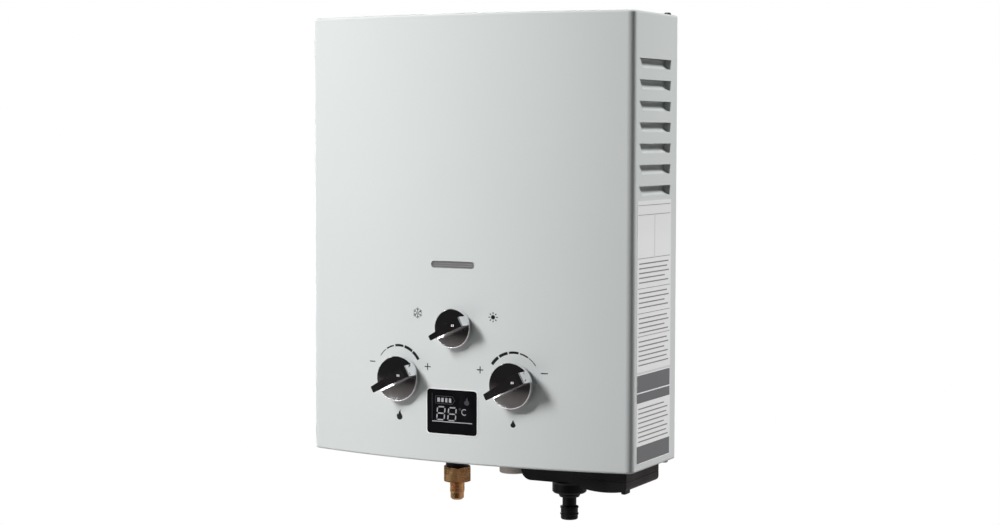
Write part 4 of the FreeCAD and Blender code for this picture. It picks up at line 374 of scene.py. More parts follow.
# %% Give every CAD node the finish of its slot
node_slots = {part["node"]: part["material_slot"] for part in frame["record"]["subparts"]}
for name, piece in frame["nodes"].items():
    piece.data.materials.clear()
    piece.data.materials.append(finish[node_slots[name]])
print("finished nodes:", len(node_slots))

# %% [markdown]
# ## Metallised knobs
# The three knobs are plastic with a thin dark metal film: from the front they mirror a dark room
# and look black, while their rims and flanks catch the white panel. The face runs from black to
# grey, because it is slightly domed. A bump makes the dome: the height falls with the square of
# the distance from the knob's axis.

# %% Group: shallow dome
tree, given, out = new_group(
    "Shallow Dome", "ShaderNodeTree", {"Centre": (0, 0, 0), "Slope": 6.0}, {"Height": "Float"})
arm = vector_calc(tree, "SUBTRACT", object_spot(tree), given["Centre"])
flat = vector_calc(tree, "MULTIPLY", arm, (1, 0, 1))
reach = put(tree, "ShaderNodeVectorMath", {0: flat}, operation="LENGTH").outputs["Value"]
fall = times(tree, times(tree, reach, reach), given["Slope"])
tree.links.new(times(tree, fall, -0.5), out["Height"])
shallow_dome = tree
print("group:", shallow_dome.name)

# %% [markdown]
# ## Placing a new piece
# A new piece is a mesh whose place is in its vertices, so its object can stay at the origin. One
# helper makes the object, gives it a finish and lets it ride on a body. The body of what it is
# fixed to carries it.

# %% Helpers for new pieces
def new_object(name, data):
    made = bpy.data.objects.new(name, data)
    bpy.context.scene.collection.objects.link(made)
    return made


def add_piece(name, mesh, body, slot, material=None):
    piece = new_object(name, mesh)
    mesh.materials.clear()
    mesh.materials.append(material or finish[slot])
    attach(piece, body)
    print(name, "faces:", len(mesh.polygons))
    return piece


def evaluated_mesh(piece, name):
    """The mesh of a piece with its modifiers, as a plain mesh of its own."""
    piece.update_tag()
    graph = bpy.context.evaluated_depsgraph_get()
    made = bpy.data.meshes.new_from_object(piece.evaluated_get(graph), depsgraph=graph)
    made.name = name
    bpy.data.objects.remove(piece)
    return made


def mesh_from(name, work, smooth=False):
    """A mesh from a bmesh, with its faces turned outwards."""
    bmesh.ops.recalc_face_normals(work, faces=work.faces)
    for face in work.faces:
        face.smooth = smooth
    mesh = bpy.data.meshes.new(name)
    work.to_mesh(mesh)
    work.free()
    return mesh


def run_tree(name, seed_mesh, tree, values):
    """Runs a Geometry Nodes tree on a mesh and returns the result as a plain mesh."""
    host = new_object(name + "_host", seed_mesh)
    modifier = host.modifiers.new("tree", "NODES")
    modifier.node_group = tree
    for item in tree.interface.items_tree:
        if item.item_type == "SOCKET" and item.in_out == "INPUT" and item.name in values:
            modifier[item.identifier] = values[item.name]
    return evaluated_mesh(host, name)


GEOMETRY_OUT = {"Geometry": "Geometry"}


def close_tree(tree, geometry, given, out):
    """Every tree ends alike: copies made real, the finish set, the result put out."""
    plain = put(tree, "GeometryNodeRealizeInstances", {0: geometry})
    dressed = put(tree, "GeometryNodeSetMaterial",
                  {"Geometry": plain.outputs[0], "Material": given["Finish"]})
    tree.links.new(dressed.outputs[0], out["Geometry"])
    print("tree:", tree.name)


# %% [markdown]
# ## Rounded edges
# A moulding or a turned piece never has a perfectly sharp edge, and the small round of its edge
# catches the light as a thin line. A copy of the node is cleaned of its loose triangles and
# beveled by a few tenths of a millimetre, and weighted normals keep the flat faces flat. Each
# point is held inside the box of its node, as a bevel can throw a corner outwards.

# %% Helper that rounds the edges of a copy
WELD = 1e-6
FLAT_WITHIN = math.radians(0.6)
SHARP_OVER = math.radians(34)


def rounded_copy(node, body, slot, width, material=None):
    name = node + "_rounded"
    work = bmesh.new()
    work.from_mesh(frame["nodes"][node].data)
    bmesh.ops.remove_doubles(work, verts=work.verts, dist=WELD)
    bmesh.ops.dissolve_limit(work, angle_limit=FLAT_WITHIN, verts=work.verts, edges=work.edges)
    host = new_object(name + "_host", mesh_from(name, work, smooth=True))
    bevel = host.modifiers.new("edges", "BEVEL")
    bevel.width = width
    bevel.segments = 3
    bevel.limit_method = "ANGLE"
    bevel.angle_limit = SHARP_OVER
    bevel.use_clamp_overlap = True
    weighted = host.modifiers.new("flat faces", "WEIGHTED_NORMAL")
    weighted.mode = "FACE_AREA"
    weighted.weight = 100
    mesh = evaluated_mesh(host, name)
    low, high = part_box(node)
    for vert in mesh.vertices:
        vert.co = [min(max(value, a), b) for value, a, b in zip(vert.co, low, high)]
    piece = add_piece(name, mesh, body, slot, material)
    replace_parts(piece, node)
    return piece


# %% [markdown]
# The three knobs get such edges. The dark metal film is one finish, and the face of the skirt has
# a second one, with the shallow dome round its own axis.

# %% The knobs with their film
BODY_OF = {"gas_knob": "gas_dial", "water_knob": "water_dial", "season_knob": "season_dial"}
JOINT_OF = {joint["child"]: joint for joint in frame["joints"]}
FILM = ((250, 250, 252), (228, 228, 232), 0.4, (1.0, 1.0, 1.0), 0.09, 0.0)
KNOB_GRIP = 11.3 * MM
KNOB_EDGE = 0.35 * MM
SKIRT_SLOPE = 6.5
finish["knob_film"] = metal("knob_film", *FILM, marks=0.05)
knob_centre = {}
for name, body in BODY_OF.items():
    knob_centre[name] = Vector(JOINT_OF[body]["pos_m"])
    skirt_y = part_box(name)[0].y + KNOB_GRIP - 0.05 * MM
    knob = rounded_copy(name, body, "black_gloss", KNOB_EDGE, finish["knob_film"])
    skirt_film = metal(name + "_skirt_film", *FILM, marks=0.07)
    tree = skirt_film.node_tree
    dome = put(tree, "ShaderNodeGroup", node_tree=shallow_dome)
    dome.inputs["Centre"].default_value = knob_centre[name]
    dome.inputs["Slope"].default_value = SKIRT_SLOPE
    relief = tree.nodes["Bump"]
    relief.inputs["Distance"].default_value = 1.0
    tree.links.new(dome.outputs["Height"], relief.inputs["Height"])
    knob.data.materials.append(skirt_film)
    for face in knob.data.polygons:
        if face.center.y > skirt_y and face.normal.y < -0.9:
            face.material_index = 1
    print(name, "centre mm", [round(c / MM, 1) for c in knob_centre[name]])

# %% [markdown]
# The battery box, its lid and the shroud of the water inlet are black mouldings, and it is their
# edges that show where one ends and the next begins. The box and the lid get rounded edges here.

# %% Rounded mouldings
rounded_copy("battery_box", "casing", "black_plastic", 0.5 * MM)
rounded_copy("battery_lid", "lid", "black_plastic", 0.4 * MM)

# %% [markdown]
# ## The perforated strip behind the flame slot
# A strip of perforated steel lets the flame be seen and keeps things out. Its staggered holes are
# a honeycomb: one six-sided cell with a round hole, repeated until the cells meet. The tree sets
# the cells on points whose place comes from their index, merges them into one sheet, bends it to
# the panel's curve and gives it its thickness.

# %% One cell of the strip
def honeycomb_cell(pitch, hole, name):
    """A six-sided plate with a round hole, in the XZ plane, point upwards."""
    work = bmesh.new()
    corner = pitch / math.sqrt(3)
    outer = []
    inner = []
    for k in range(12):
        angle = math.radians(90 + 30 * k)
        far = corner if k % 2 == 0 else pitch / 2
        outer.append(work.verts.new((far * math.cos(angle), 0, far * math.sin(angle))))
        inner.append(work.verts.new((hole * math.cos(angle), 0, hole * math.sin(angle))))
    for k in range(12):
        after = (k + 1) % 12
        work.faces.new((outer[k], outer[after], inner[after], inner[k]))
    mesh = bpy.data.meshes.new(name)
    work.to_mesh(mesh)
    work.free()
    return mesh


# %% The tree that makes the strip
MEETING = 0.02 * MM
tree, given, out = new_group(
    "Perforated Strip", "GeometryNodeTree",
    {"Cell": "Geometry", "Columns": 22, "Rows": 7, "Pitch": 0.002, "Centre": (0, 0, 0),
     "Bend Radius": 0.59, "Bend Centre Y": 0.5, "Thickness": 0.0004, "Finish": "Material"},
    GEOMETRY_OUT)
points = put(tree, "GeometryNodePoints", {"Count": times(tree, given["Columns"], given["Rows"])})
index = put(tree, "GeometryNodeInputIndex").outputs[0]
row = calc(tree, "FLOOR", calc(tree, "DIVIDE", plus(tree, index, 0.5), given["Columns"]))
column = minus(tree, index, times(tree, row, given["Columns"]))
stagger = times(tree, calc(tree, "FLOORED_MODULO", row, 2.0), 0.5)
middle = times(tree, minus(tree, given["Columns"], 0.5), 0.5)
along = minus(tree, plus(tree, column, stagger), middle)
rise = minus(tree, row, times(tree, minus(tree, given["Rows"], 1.0), 0.5))
place = put(tree, "ShaderNodeCombineXYZ", {
    0: times(tree, along, given["Pitch"]),
    2: times(tree, times(tree, rise, given["Pitch"]), math.sqrt(3) / 2)})
centred = vector_calc(tree, "ADD", place.outputs[0], given["Centre"])
laid = put(tree, "GeometryNodeSetPosition", {"Geometry": points.outputs[0], "Position": centred})
cells = put(tree, "GeometryNodeInstanceOnPoints",
            {"Points": laid.outputs[0], "Instance": given["Cell"]})
loose = put(tree, "GeometryNodeRealizeInstances", {0: cells.outputs[0]})
sheet = put(tree, "GeometryNodeMergeByDistance", {"Geometry": loose.outputs[0], "Distance": MEETING})
here = put(tree, "ShaderNodeSeparateXYZ", {0: put(tree, "GeometryNodeInputPosition").outputs[0]}).outputs
square = minus(tree, times(tree, given["Bend Radius"], given["Bend Radius"]),
               times(tree, here[0], here[0]))
depth = minus(tree, given["Bend Centre Y"], calc(tree, "SQRT", square))
curved = put(tree, "ShaderNodeCombineXYZ", {0: here[0], 1: depth, 2: here[2]})
bent = put(tree, "GeometryNodeSetPosition",
           {"Geometry": sheet.outputs[0], "Position": curved.outputs[0]})
backwards = put(tree, "ShaderNodeCombineXYZ", {1: given["Thickness"]})
thick = put(tree, "GeometryNodeExtrudeMesh", {
    "Mesh": bent.outputs[0], "Offset": backwards.outputs[0], "Offset Scale": 1.0, "Individual": False})
closing = put(tree, "GeometryNodeJoinGeometry")
for half in (thick, bent):
    tree.links.new(half.outputs[0], closing.inputs[0])
closed = put(tree, "GeometryNodeMergeByDistance", {"Geometry": closing.outputs[0], "Distance": MEETING})
close_tree(tree, closed.outputs[0], given, out)
strip_tree = tree

# %% The strip in its place
finish["punched_steel"] = metal(
    "punched_steel", (222, 221, 223), (190, 188, 190), 0.3, (3.0, 40.0, 40.0), 0.5, 0.00001,
    Metallic=0.6)
mesh_low, mesh_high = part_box("viewing_mesh")
HOLE_PITCH = 2.0 * MM
HOLE_RADIUS = 0.7 * MM
SHEET = 0.8 * MM
STRIP_GAP = 0.05 * MM
strip_mesh = run_tree("viewing_strip", honeycomb_cell(HOLE_PITCH, HOLE_RADIUS, "cell"), strip_tree, {
    "Columns": 22, "Rows": 7, "Pitch": HOLE_PITCH,
    "Centre": ((mesh_low.x + mesh_high.x) / 2, 0, (mesh_low.z + mesh_high.z) / 2),
    "Bend Radius": panel_radius - SHEET - STRIP_GAP, "Bend Centre Y": panel_centre_y,
    "Thickness": 0.4 * MM, "Finish": finish["punched_steel"]})
work = bmesh.new()
work.from_mesh(strip_mesh)
viewing_strip = add_piece("viewing_strip", mesh_from("viewing_strip", work), "casing", "stainless",
                          finish["punched_steel"])
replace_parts(viewing_strip, "viewing_mesh")

# %% [markdown]
# ## Threads
# A thread is a ridge that climbs round a shaft: a spiral curve gives its path, and a small round
# section swept along it gives the ridge. The fitting's own mesh is copied, its thread zone is
# drawn in by the height of the ridge, and the two are joined to stand for the CAD node.

# %% The tree that makes a ridge
tree, given, out = new_group(
    "Thread Ridge", "GeometryNodeTree",
    {"Geometry": "Geometry", "Radius": 0.006, "Ridge": 0.0003, "Turns": 6.0, "Length": 0.008,
     "Centre": (0, 0, 0), "Finish": "Material"}, GEOMETRY_OUT)
path = put(tree, "GeometryNodeCurveSpiral", {
    "Resolution": 32, "Rotations": given["Turns"], "Start Radius": given["Radius"],
    "End Radius": given["Radius"], "Height": given["Length"]})
section = put(tree, "GeometryNodeCurvePrimitiveCircle", {"Resolution": 6, "Radius": given["Ridge"]})
ridge = put(tree, "GeometryNodeCurveToMesh", {
    "Curve": path.outputs[0], "Profile Curve": section.outputs[0], "Fill Caps": True})
placed = put(tree, "GeometryNodeTransform",
             {"Geometry": ridge.outputs[0], "Translation": given["Centre"]})
close_tree(tree, placed.outputs[0], given, out)
thread_tree = tree


# %% Threaded copies of the gas fitting and the outlet spigot
def threaded_copy(name, node, z0, z1, radius, pitch, ridge):
    """A copy of a fitting whose thread zone is drawn in and carries a climbing ridge."""
    low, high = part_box(node)
    x = (low.x + high.x) / 2
    y = (low.y + high.y) / 2
    work = bmesh.new()
    work.from_mesh(frame["nodes"][node].data)
    bmesh.ops.remove_doubles(work, verts=work.verts, dist=WELD)
    shrink = (radius - ridge) / radius
    for vert in work.verts:
        reach = math.hypot(vert.co.x - x, vert.co.y - y)
        if z0 - 1e-5 < vert.co.z < z1 + 1e-5 and abs(reach - radius) < 0.05 * MM:
            vert.co.x = x + (vert.co.x - x) * shrink
            vert.co.y = y + (vert.co.y - y) * shrink
    for face in work.faces:
        face.smooth = False
    climb = z1 - z0 - 2 * ridge
    work.from_mesh(run_tree(name + "_ridge", bpy.data.meshes.new("seed"), thread_tree, {
        "Radius": radius - ridge, "Ridge": ridge, "Turns": climb / pitch, "Length": climb,
        "Centre": (x, y, z0 + ridge), "Finish": finish["brass"]}))
    mesh = bpy.data.meshes.new(name)
    work.to_mesh(mesh)
    work.free()
    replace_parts(add_piece(name, mesh, "casing", "brass"), node)


GAS_NOSE = 6.0 * MM
GAS_THREAD = 9.5 * MM
GAS_LEAD = 0.7 * MM
GAS_RUNOUT = 1.2 * MM
gas_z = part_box("gas_inlet_fitting")[0].z + GAS_NOSE
threaded_copy("gas_fitting_threaded", "gas_inlet_fitting", gas_z + GAS_LEAD,
              gas_z + GAS_THREAD - GAS_RUNOUT, radius=6.35 * MM, pitch=1.27 * MM, ridge=0.34 * MM)
SPIGOT_LEAD = 1.0 * MM
SPIGOT_THREAD_TOP = 11.5 * MM
spigot_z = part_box("hot_outlet_spigot")[0].z
threaded_copy("outlet_spigot_threaded", "hot_outlet_spigot", spigot_z + SPIGOT_LEAD,
              spigot_z + SPIGOT_THREAD_TOP, radius=10.45 * MM, pitch=1.81 * MM, ridge=0.5 * MM)

# %% [markdown]
# ## Cover screws
# Four pan-head screws hold the cover, two under its lower edge and two on its roof. The head is
# turned from a profile, and its cross recess is cut with a boolean. One screw is enough, because
# the tree puts copies at the four places and turns the upper two over.

# %% One screw
def pan_head_screw(radius, height, shank, length):
    """Head down at z -height, shank up, axis on Z, with a cross recess in the head."""
    work = bmesh.new()
    profile = [(0, -height), (radius * 0.62, -height), (radius * 0.86, -height * 0.78),
               (radius, -height * 0.3), (radius, 0), (shank, 0), (shank, length - shank),
               (shank * 0.4, length), (0, length)]
    line = [work.verts.new((r, 0, z)) for r, z in profile]
    edges = [work.edges.new(pair) for pair in zip(line, line[1:])]
    bmesh.ops.spin(work, geom=line + edges, cent=(0, 0, 0), axis=(0, 0, 1), steps=24,
                   angle=2 * math.pi)
    bmesh.ops.remove_doubles(work, verts=work.verts, dist=WELD)
    head = new_object("screw_blank", mesh_from("screw_blank", work))
    cut = bmesh.new()
    for wide, deep in ((radius * 1.25, radius * 0.28), (radius * 0.28, radius * 1.25)):
        arm_size = Matrix.Diagonal((wide, deep, height * 1.1, 1))
        bmesh.ops.create_cube(cut, size=1.0, matrix=Matrix.Translation((0, 0, -height)) @ arm_size)
    cutter = new_object("screw_cutter", mesh_from("screw_cutter", cut))
    boolean = head.modifiers.new("recess", "BOOLEAN")
    boolean.object = cutter
    boolean.use_self = True
    mesh = evaluated_mesh(head, "pan_head_screw")
    bpy.data.objects.remove(cutter)
    return mesh


# %% The tree that sets the screws
tree, given, out = new_group(
    "Corner Screws", "GeometryNodeTree",
    {"Screw": "Geometry", "Spread": 0.28, "Low": 0.0, "High": 0.3, "Depth": -0.012,
     "Finish": "Material"}, GEOMETRY_OUT)
points = put(tree, "GeometryNodePoints", {"Count": 4})
index = put(tree, "GeometryNodeInputIndex").outputs[0]
right = calc(tree, "FLOORED_MODULO", index, 2.0)
upper = calc(tree, "FLOOR", calc(tree, "DIVIDE", plus(tree, index, 0.5), 2.0))
across = times(tree, minus(tree, right, 0.5), given["Spread"])
height = plus(tree, given["Low"], times(tree, upper, minus(tree, given["High"], given["Low"])))
place = put(tree, "ShaderNodeCombineXYZ", {0: across, 1: given["Depth"], 2: height})
laid = put(tree, "GeometryNodeSetPosition",
           {"Geometry": points.outputs[0], "Position": place.outputs[0]})
turn = put(tree, "ShaderNodeCombineXYZ", {0: times(tree, upper, math.pi), 2: index})
copies = put(tree, "GeometryNodeInstanceOnPoints", {
    "Points": laid.outputs[0], "Instance": given["Screw"], "Rotation": turn.outputs[0]})
close_tree(tree, copies.outputs[0], given, out)
screw_tree = tree

# %% The four screws in place
screws_low, screws_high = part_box("cover_screws")
SCREW_HEAD = 3.0 * MM
SCREW_HEAD_HEIGHT = 1.6 * MM
screw = pan_head_screw(SCREW_HEAD, SCREW_HEAD_HEIGHT, shank=1.5 * MM, length=6.0 * MM)
screw_mesh = run_tree("cover_screw_set", screw, screw_tree, {
    "Spread": screws_high.x - screws_low.x - 2 * SCREW_HEAD, "Depth": (screws_low.y + screws_high.y) / 2,
    "Low": screws_low.z + SCREW_HEAD_HEIGHT, "High": screws_high.z - SCREW_HEAD_HEIGHT,
    "Finish": finish["stainless"]})
screw_set = add_piece("cover_screw_set", screw_mesh, "casing", "stainless")
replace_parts(screw_set, "cover_screws")

# %% [markdown]
# ## Printed marks
# The marks are a film of ink a few hundredths of a millimetre thick, and a film of real mesh stays
# sharp at any distance. Ribbons follow a line with a width at each point, and blobs are filled
# outlines. Both are drawn flat in X and Z and laid on the curve afterwards.

# %% Helpers for printed films
def ribbon(work, line, widths, closed=False):
    """A strip along a line of (x, z) points, with a width at each point."""
    sides = []
    count = len(line)
    for k, (x, z) in enumerate(line):
        before = line[(k - 1) % count] if closed or k else line[k]
        after = line[(k + 1) % count] if closed or k < count - 1 else line[k]
        run = Vector((after[0] - before[0], after[1] - before[1])).normalized()
        half = widths[k] / 2
        sides.append((work.verts.new((x - run.y * half, 0, z + run.x * half)),
                      work.verts.new((x + run.y * half, 0, z - run.x * half))))
    for k in range(count if closed else count - 1):
        a, b = sides[k], sides[(k + 1) % count]
        work.faces.new((a[0], b[0], b[1], a[1]))


def blob(work, centre, rim):
    """A filled outline of (x, z) points round a centre that sees all of them."""
    middle = work.verts.new((centre[0], 0, centre[1]))
    ring = [work.verts.new((x, 0, z)) for x, z in rim]
    for k in range(len(ring)):
        work.faces.new((middle, ring[k], ring[(k + 1) % len(ring)]))


def stroke_line(work, start, end, width):
    ribbon(work, [start, end], [width] * 2)


def add_film(name, work, lay, thickness, slot, material, body="casing"):
    """Gives a flat drawing its thickness and lays it on a surface; lay(x, z, off) is that place."""
    made = bmesh.ops.extrude_face_region(work, geom=work.faces[:])
    raised = {item for item in made["geom"] if isinstance(item, bmesh.types.BMVert)}
    for vert in work.verts:
        off = thickness if vert in raised else 0.0
        vert.co = lay(vert.co.x, vert.co.z, off)
    add_piece(name, mesh_from(name, work), body, slot, finish[material])


def on_panel(x, z, off):
    """On the front panel. The lower face of the film sits a hair above the paint."""
    return Vector((x * MM, panel_y(x * MM, 0.01 * MM + off), z * MM))


# %% [markdown]
# The scales over the gas and water knobs are five dashes each, thin at one end and thick at the
# other. Angles are counted from twelve o'clock, clockwise.

# %% Scales over the two lower knobs
def arc_line(centre, radius, start, end, steps):
    line = []
    for k in range(steps + 1):
        angle = math.radians(start + (end - start) * k / steps)
        line.append((centre[0] + radius * math.sin(angle), centre[1] + radius * math.cos(angle)))
    return line


DASH_WIDTHS = (0.6, 1.2, 1.9, 2.3, 2.5)
GAS_DASHES = ((-54.7, -34.6), (-31.6, -12.8), (-9.0, 11.5), (14.7, 35.3), (37.7, 58.6))
WATER_DASHES = ((-57.2, -37.1), (-33.9, -13.8), (-10.7, 10.5), (13.6, 32.8), (35.3, 56.2))
marks = bmesh.new()
for centre, radius, dashes, widths in (((-54.1, 50.4), 22.4, GAS_DASHES, DASH_WIDTHS),
                                       ((50.8, 50.0), 22.1, WATER_DASHES, DASH_WIDTHS[::-1])):
    for (start, end), width in zip(dashes, widths):
        ribbon(marks, arc_line(centre, radius, start, end, 8), [width] * 9)
print("dashes:", len(GAS_DASHES) + len(WATER_DASHES))

# %% [markdown]
# Signs say what the knobs do in any language: a flame and a drop under the gas and the water
# knob, a snowflake and a sun beside the season knob, and a plus and a minus at the scale ends.

# %% Signs beside the knobs
def minus_sign(work, x, z, size, stroke):
    stroke_line(work, (x - size / 2, z), (x + size / 2, z), stroke)


def plus_sign(work, x, z, size, stroke):
    minus_sign(work, x, z, size, stroke)
    for hand in (1, -1):
        stroke_line(work, (x, z + hand * stroke / 2), (x, z + hand * size / 2), stroke)


def snowflake_sign(work, x, z, size, stroke):
    centre = Vector((x, z))
    for k in range(6):
        angle = math.radians(30 + 60 * k)
        run = Vector((math.cos(angle), math.sin(angle)))
        side = Vector((-run.y, run.x))
        fork = centre + run * size * 0.3
        stroke_line(work, centre + run * stroke, centre + run * size / 2, stroke)
        for hand in (-1, 1):
            start = fork + side * hand * stroke / 2
            stroke_line(work, start, start + run * size * 0.11 + side * hand * size * 0.13, stroke)


def sun_sign(work, x, z, size, stroke):
    disc = size * 0.22
    blob(work, (x, z), [(x + disc * math.cos(k * math.pi / 10), z + disc * math.sin(k * math.pi / 10))
                        for k in range(20)])
    centre = Vector((x, z))
    for k in range(8):
        run = Vector((math.cos(k * math.pi / 4), math.sin(k * math.pi / 4)))
        stroke_line(work, centre + run * size * 0.33, centre + run * size * 0.5, stroke)


def drop_sign(work, x, z, size):
    z -= size * 0.17
    rim = []
    for k in range(24):
        angle = 2 * math.pi * k / 24
        lean = math.cos(angle)
        point = max(0.0, lean)
        rim.append((x + size * 0.3 * math.sin(angle) * (1 - 0.55 * point),
                    z + size * 0.3 * (1 + 0.72 * point ** 3) * lean))
    blob(work, (x, z), rim)


FLAME = ((0, -0.5), (-0.2, -0.45), (-0.32, -0.28), (-0.33, -0.08), (-0.24, 0.1), (-0.16, 0.03),
         (-0.12, 0.1), (-0.1, 0.24), (0, 0.38), (0.13, 0.5), (0.11, 0.3), (0.17, 0.14), (0.28, 0),
         (0.34, -0.16), (0.31, -0.34), (0.18, -0.46))


def flame_sign(work, x, z, size, up=1):
    blob(work, (x, z - 0.2 * size * up), [(x + size * a, z + size * b * up) for a, b in FLAME])


STROKE = 0.8
SIGN = 5.6
snowflake_sign(marks, -35.7, 100.0, 9.0, 0.5)
sun_sign(marks, 33.0, 99.5, 8.0, STROKE)
minus_sign(marks, -80.8, 58.0, SIGN, STROKE)
plus_sign(marks, -26.2, 57.0, SIGN, STROKE)
plus_sign(marks, 21.7, 57.0, SIGN, STROKE)
minus_sign(marks, 76.5, 56.6, SIGN, STROKE)
flame_sign(marks, -53.5, 16.0, 8.4)
drop_sign(marks, 50.3, 15.8, 7.5)

# %% Ink and the printed film
finish["ink"] = painted("panel_ink", (24, 26, 28), 0.02, 0.4, 0.000004, peel=0.0006)
add_film("panel_marks", marks, on_panel, 0.03 * MM, "black_gloss", "ink")

# %% [markdown]
# ## The display
# The display is a black window printed from behind: a battery sign, two digits of seven bars, a
# degree sign and a thin line. They look pale grey with the heater off. The bars of a digit lean
# a little, so one function draws a digit in a leaning frame.

# %% Digits and signs of the display
lens_low, lens_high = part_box("display_lens")
LENS_WIDTH = 45.2
LENS_HEIGHT = 35.5
LENS_PROUD = 0.4
lens_x0 = (lens_low.x + lens_high.x) / 2 / MM - LENS_WIDTH / 2
lens_z1 = (lens_low.z + lens_high.z) / 2 / MM + LENS_HEIGHT / 2


def on_lens(u, v, off):
    """A place on the lens: u from its left edge, v below its upper edge, both in mm."""
    x = lens_x0 + u
    return Vector((x * MM, panel_y(x * MM, (LENS_PROUD + 0.01) * MM + off), (lens_z1 - v) * MM))


def digit(work, u, v, width, height, stroke, lean):
    """All seven bars of one digit. v grows downwards."""
    def bar(ax, ay, bx, by):
        a = Vector((u + ax * width + (1 - ay) * lean, v + ay * height))
        b = Vector((u + bx * width + (1 - by) * lean, v + by * height))
        run = (b - a).normalized()
        gap = run * stroke * 0.7
        ribbon(work, [a + gap, a + gap * 1.7, b - gap * 1.7, b - gap],
               [stroke * 0.45, stroke, stroke, stroke * 0.45])
    for ay in (0.0, 0.5, 1.0):
        bar(0, ay, 1, ay)
    for ax in (0.0, 1.0):
        bar(ax, 0, ax, 0.5)
        bar(ax, 0.5, ax, 1)


THIN = 0.75
signs = bmesh.new()
for u, v in ((8.9, 13.9), (19.2, 14.1)):
    digit(signs, u, v, width=6.9, height=10.4, stroke=1.05, lean=0.9)
for left, right in ((9.5, 12.0), (13.2, 15.4), (16.8, 18.9), (20.1, 22.4)):
    stroke_line(signs, ((left + right) / 2, 6.7), ((left + right) / 2, 10.0), right - left)
ribbon(signs, [(4.6 + 3.05 * k, 25.8) for k in range(13)], [THIN] * 13)
ribbon(signs, arc_line((34.2, 17.1), 2.3, 138, 402, 14), [THIN] * 15)

# %% Dim signs of the display
dim_signs = bmesh.new()
case_line = [(8.0 + 2.6 * k, 5.2) for k in range(7)] + [(25.6, 8.2)]
case_line += [(23.6 - 2.6 * k, 11.3) for k in range(7)] + [(8.0, 8.2)]
ribbon(dim_signs, case_line, [0.4] * len(case_line), closed=True)
stroke_line(dim_signs, (4.6, 3.2), (4.6, 24.6), 0.35)
ribbon(dim_signs, arc_line((30.2, 14.9), 0.75, 0, 330, 11), [0.45] * 12, closed=True)
flame_sign(dim_signs, 36.4, 8.4, 6.6, -1)
finish["pale_segments"] = moulded(
    "pale_segments", (176, 177, 182), (150, 150, 156), 0.4, 0.001, 0.35, 0.000002)
finish["dim_segments"] = moulded(
    "dim_segments", (74, 75, 80), (60, 60, 66), 0.4, 0.001, 0.35, 0.000002)
add_film("display_segments", signs, on_lens, 0.02 * MM, "grey_plastic", "pale_segments")
add_film("display_dim_signs", dim_signs, on_lens, 0.015 * MM, "grey_plastic", "dim_segments")

# %% [markdown]
# The cut-out for the window has a pressed edge that catches the light as a thin white line. That
# line is a painted highlight: a closed ribbon with round corners, a little raised, in white paint.

# %% Rim round the display
def rounded_loop(x0, x1, z0, z1, radius, steps):
    line = []
    for cx, cz, start in ((x1 - radius, z1 - radius, 0), (x0 + radius, z1 - radius, 90),
                          (x0 + radius, z0 + radius, 180), (x1 - radius, z0 + radius, 270)):
        for k in range(steps + 1):
            angle = math.radians(start + 90 * k / steps)
            line.append((cx + radius * math.cos(angle), cz + radius * math.sin(angle)))
    return line


def with_steps(line, step):
    """The same closed line with points added on its long runs, so that it can bend."""
    made = []
    for k, here in enumerate(line):
        after = line[(k + 1) % len(line)]
        count = max(1, int(math.dist(here, after) / step))
        for i in range(count):
            made.append(tuple(a + (b - a) * i / count for a, b in zip(here, after)))
    return made


RIM_WIDTH = 0.8
grow = 0.2 + RIM_WIDTH / 2
rim_line = with_steps(rounded_loop(lens_x0 - grow, lens_x0 + LENS_WIDTH + grow,
                                   lens_z1 - LENS_HEIGHT - grow, lens_z1 + grow, 2.5 + grow, 6), 3.0)
rim = bmesh.new()
ribbon(rim, rim_line, [RIM_WIDTH] * len(rim_line), closed=True)
# Painted highlight: the rim's white paint stands for light caught by the pressed edge.
finish["white_and_highlight_paint"] = painted(
    "plate_and_highlight_paint", (253, 253, 253), 0.005, 0.3, 0.000005, Coat_Weight=0.4)
add_film("display_rim_highlight", rim, on_panel, 0.2 * MM, "white_paint", "white_and_highlight_paint")

# %% [markdown]
# ## Pointer marks
# Each knob has a small pointer mark near the wide end of its grip bar, which shows where it
# points. It is drawn as two short pale dashes that stand for the two glints on that mark: painted
# highlights. They ride with the dial, because they turn with it.

# %% Pointer marks on the knobs
REST_ANGLE = math.radians(28.0)
for name, body in BODY_OF.items():
    low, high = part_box(name)
    centre = knob_centre[name]
    reach = (high.x - low.x) / 2 * 0.5 / MM
    x = reach * math.cos(REST_ANGLE)
    z = reach * math.sin(REST_ANGLE)
    dashes = bmesh.new()
    # The two pale dashes are painted highlights, the glints on the pointer mark.
    for offset in (-0.75, 0.75):
        stroke_line(dashes, (x + offset, z - 0.9), (x + offset, z + 0.9), 0.75)

    def on_tip(x, z, off):
        return Vector((centre.x + x * MM, low.y - 0.005 * MM - off, centre.z + z * MM))

    add_film(name + "_pointer", dashes, on_tip, 0.02 * MM, "white_paint", "white_and_highlight_paint", body)

# %% [markdown]
# ## Plates on the side
# Such a heater has plates on its right side that say what it is connected to. Here they are left
# blank, as a form is before it is filled in: a white film with round corners, a grey head and
# foot, and thin ruled lines. They are laid on the flat side of the cover.

# %% Blank plates
def on_side(y, z, off):
    return Vector((half_width + off, y * MM, z * MM))


def at_height(lift):
    return lambda y, z, off: on_side(y, z, lift + off)


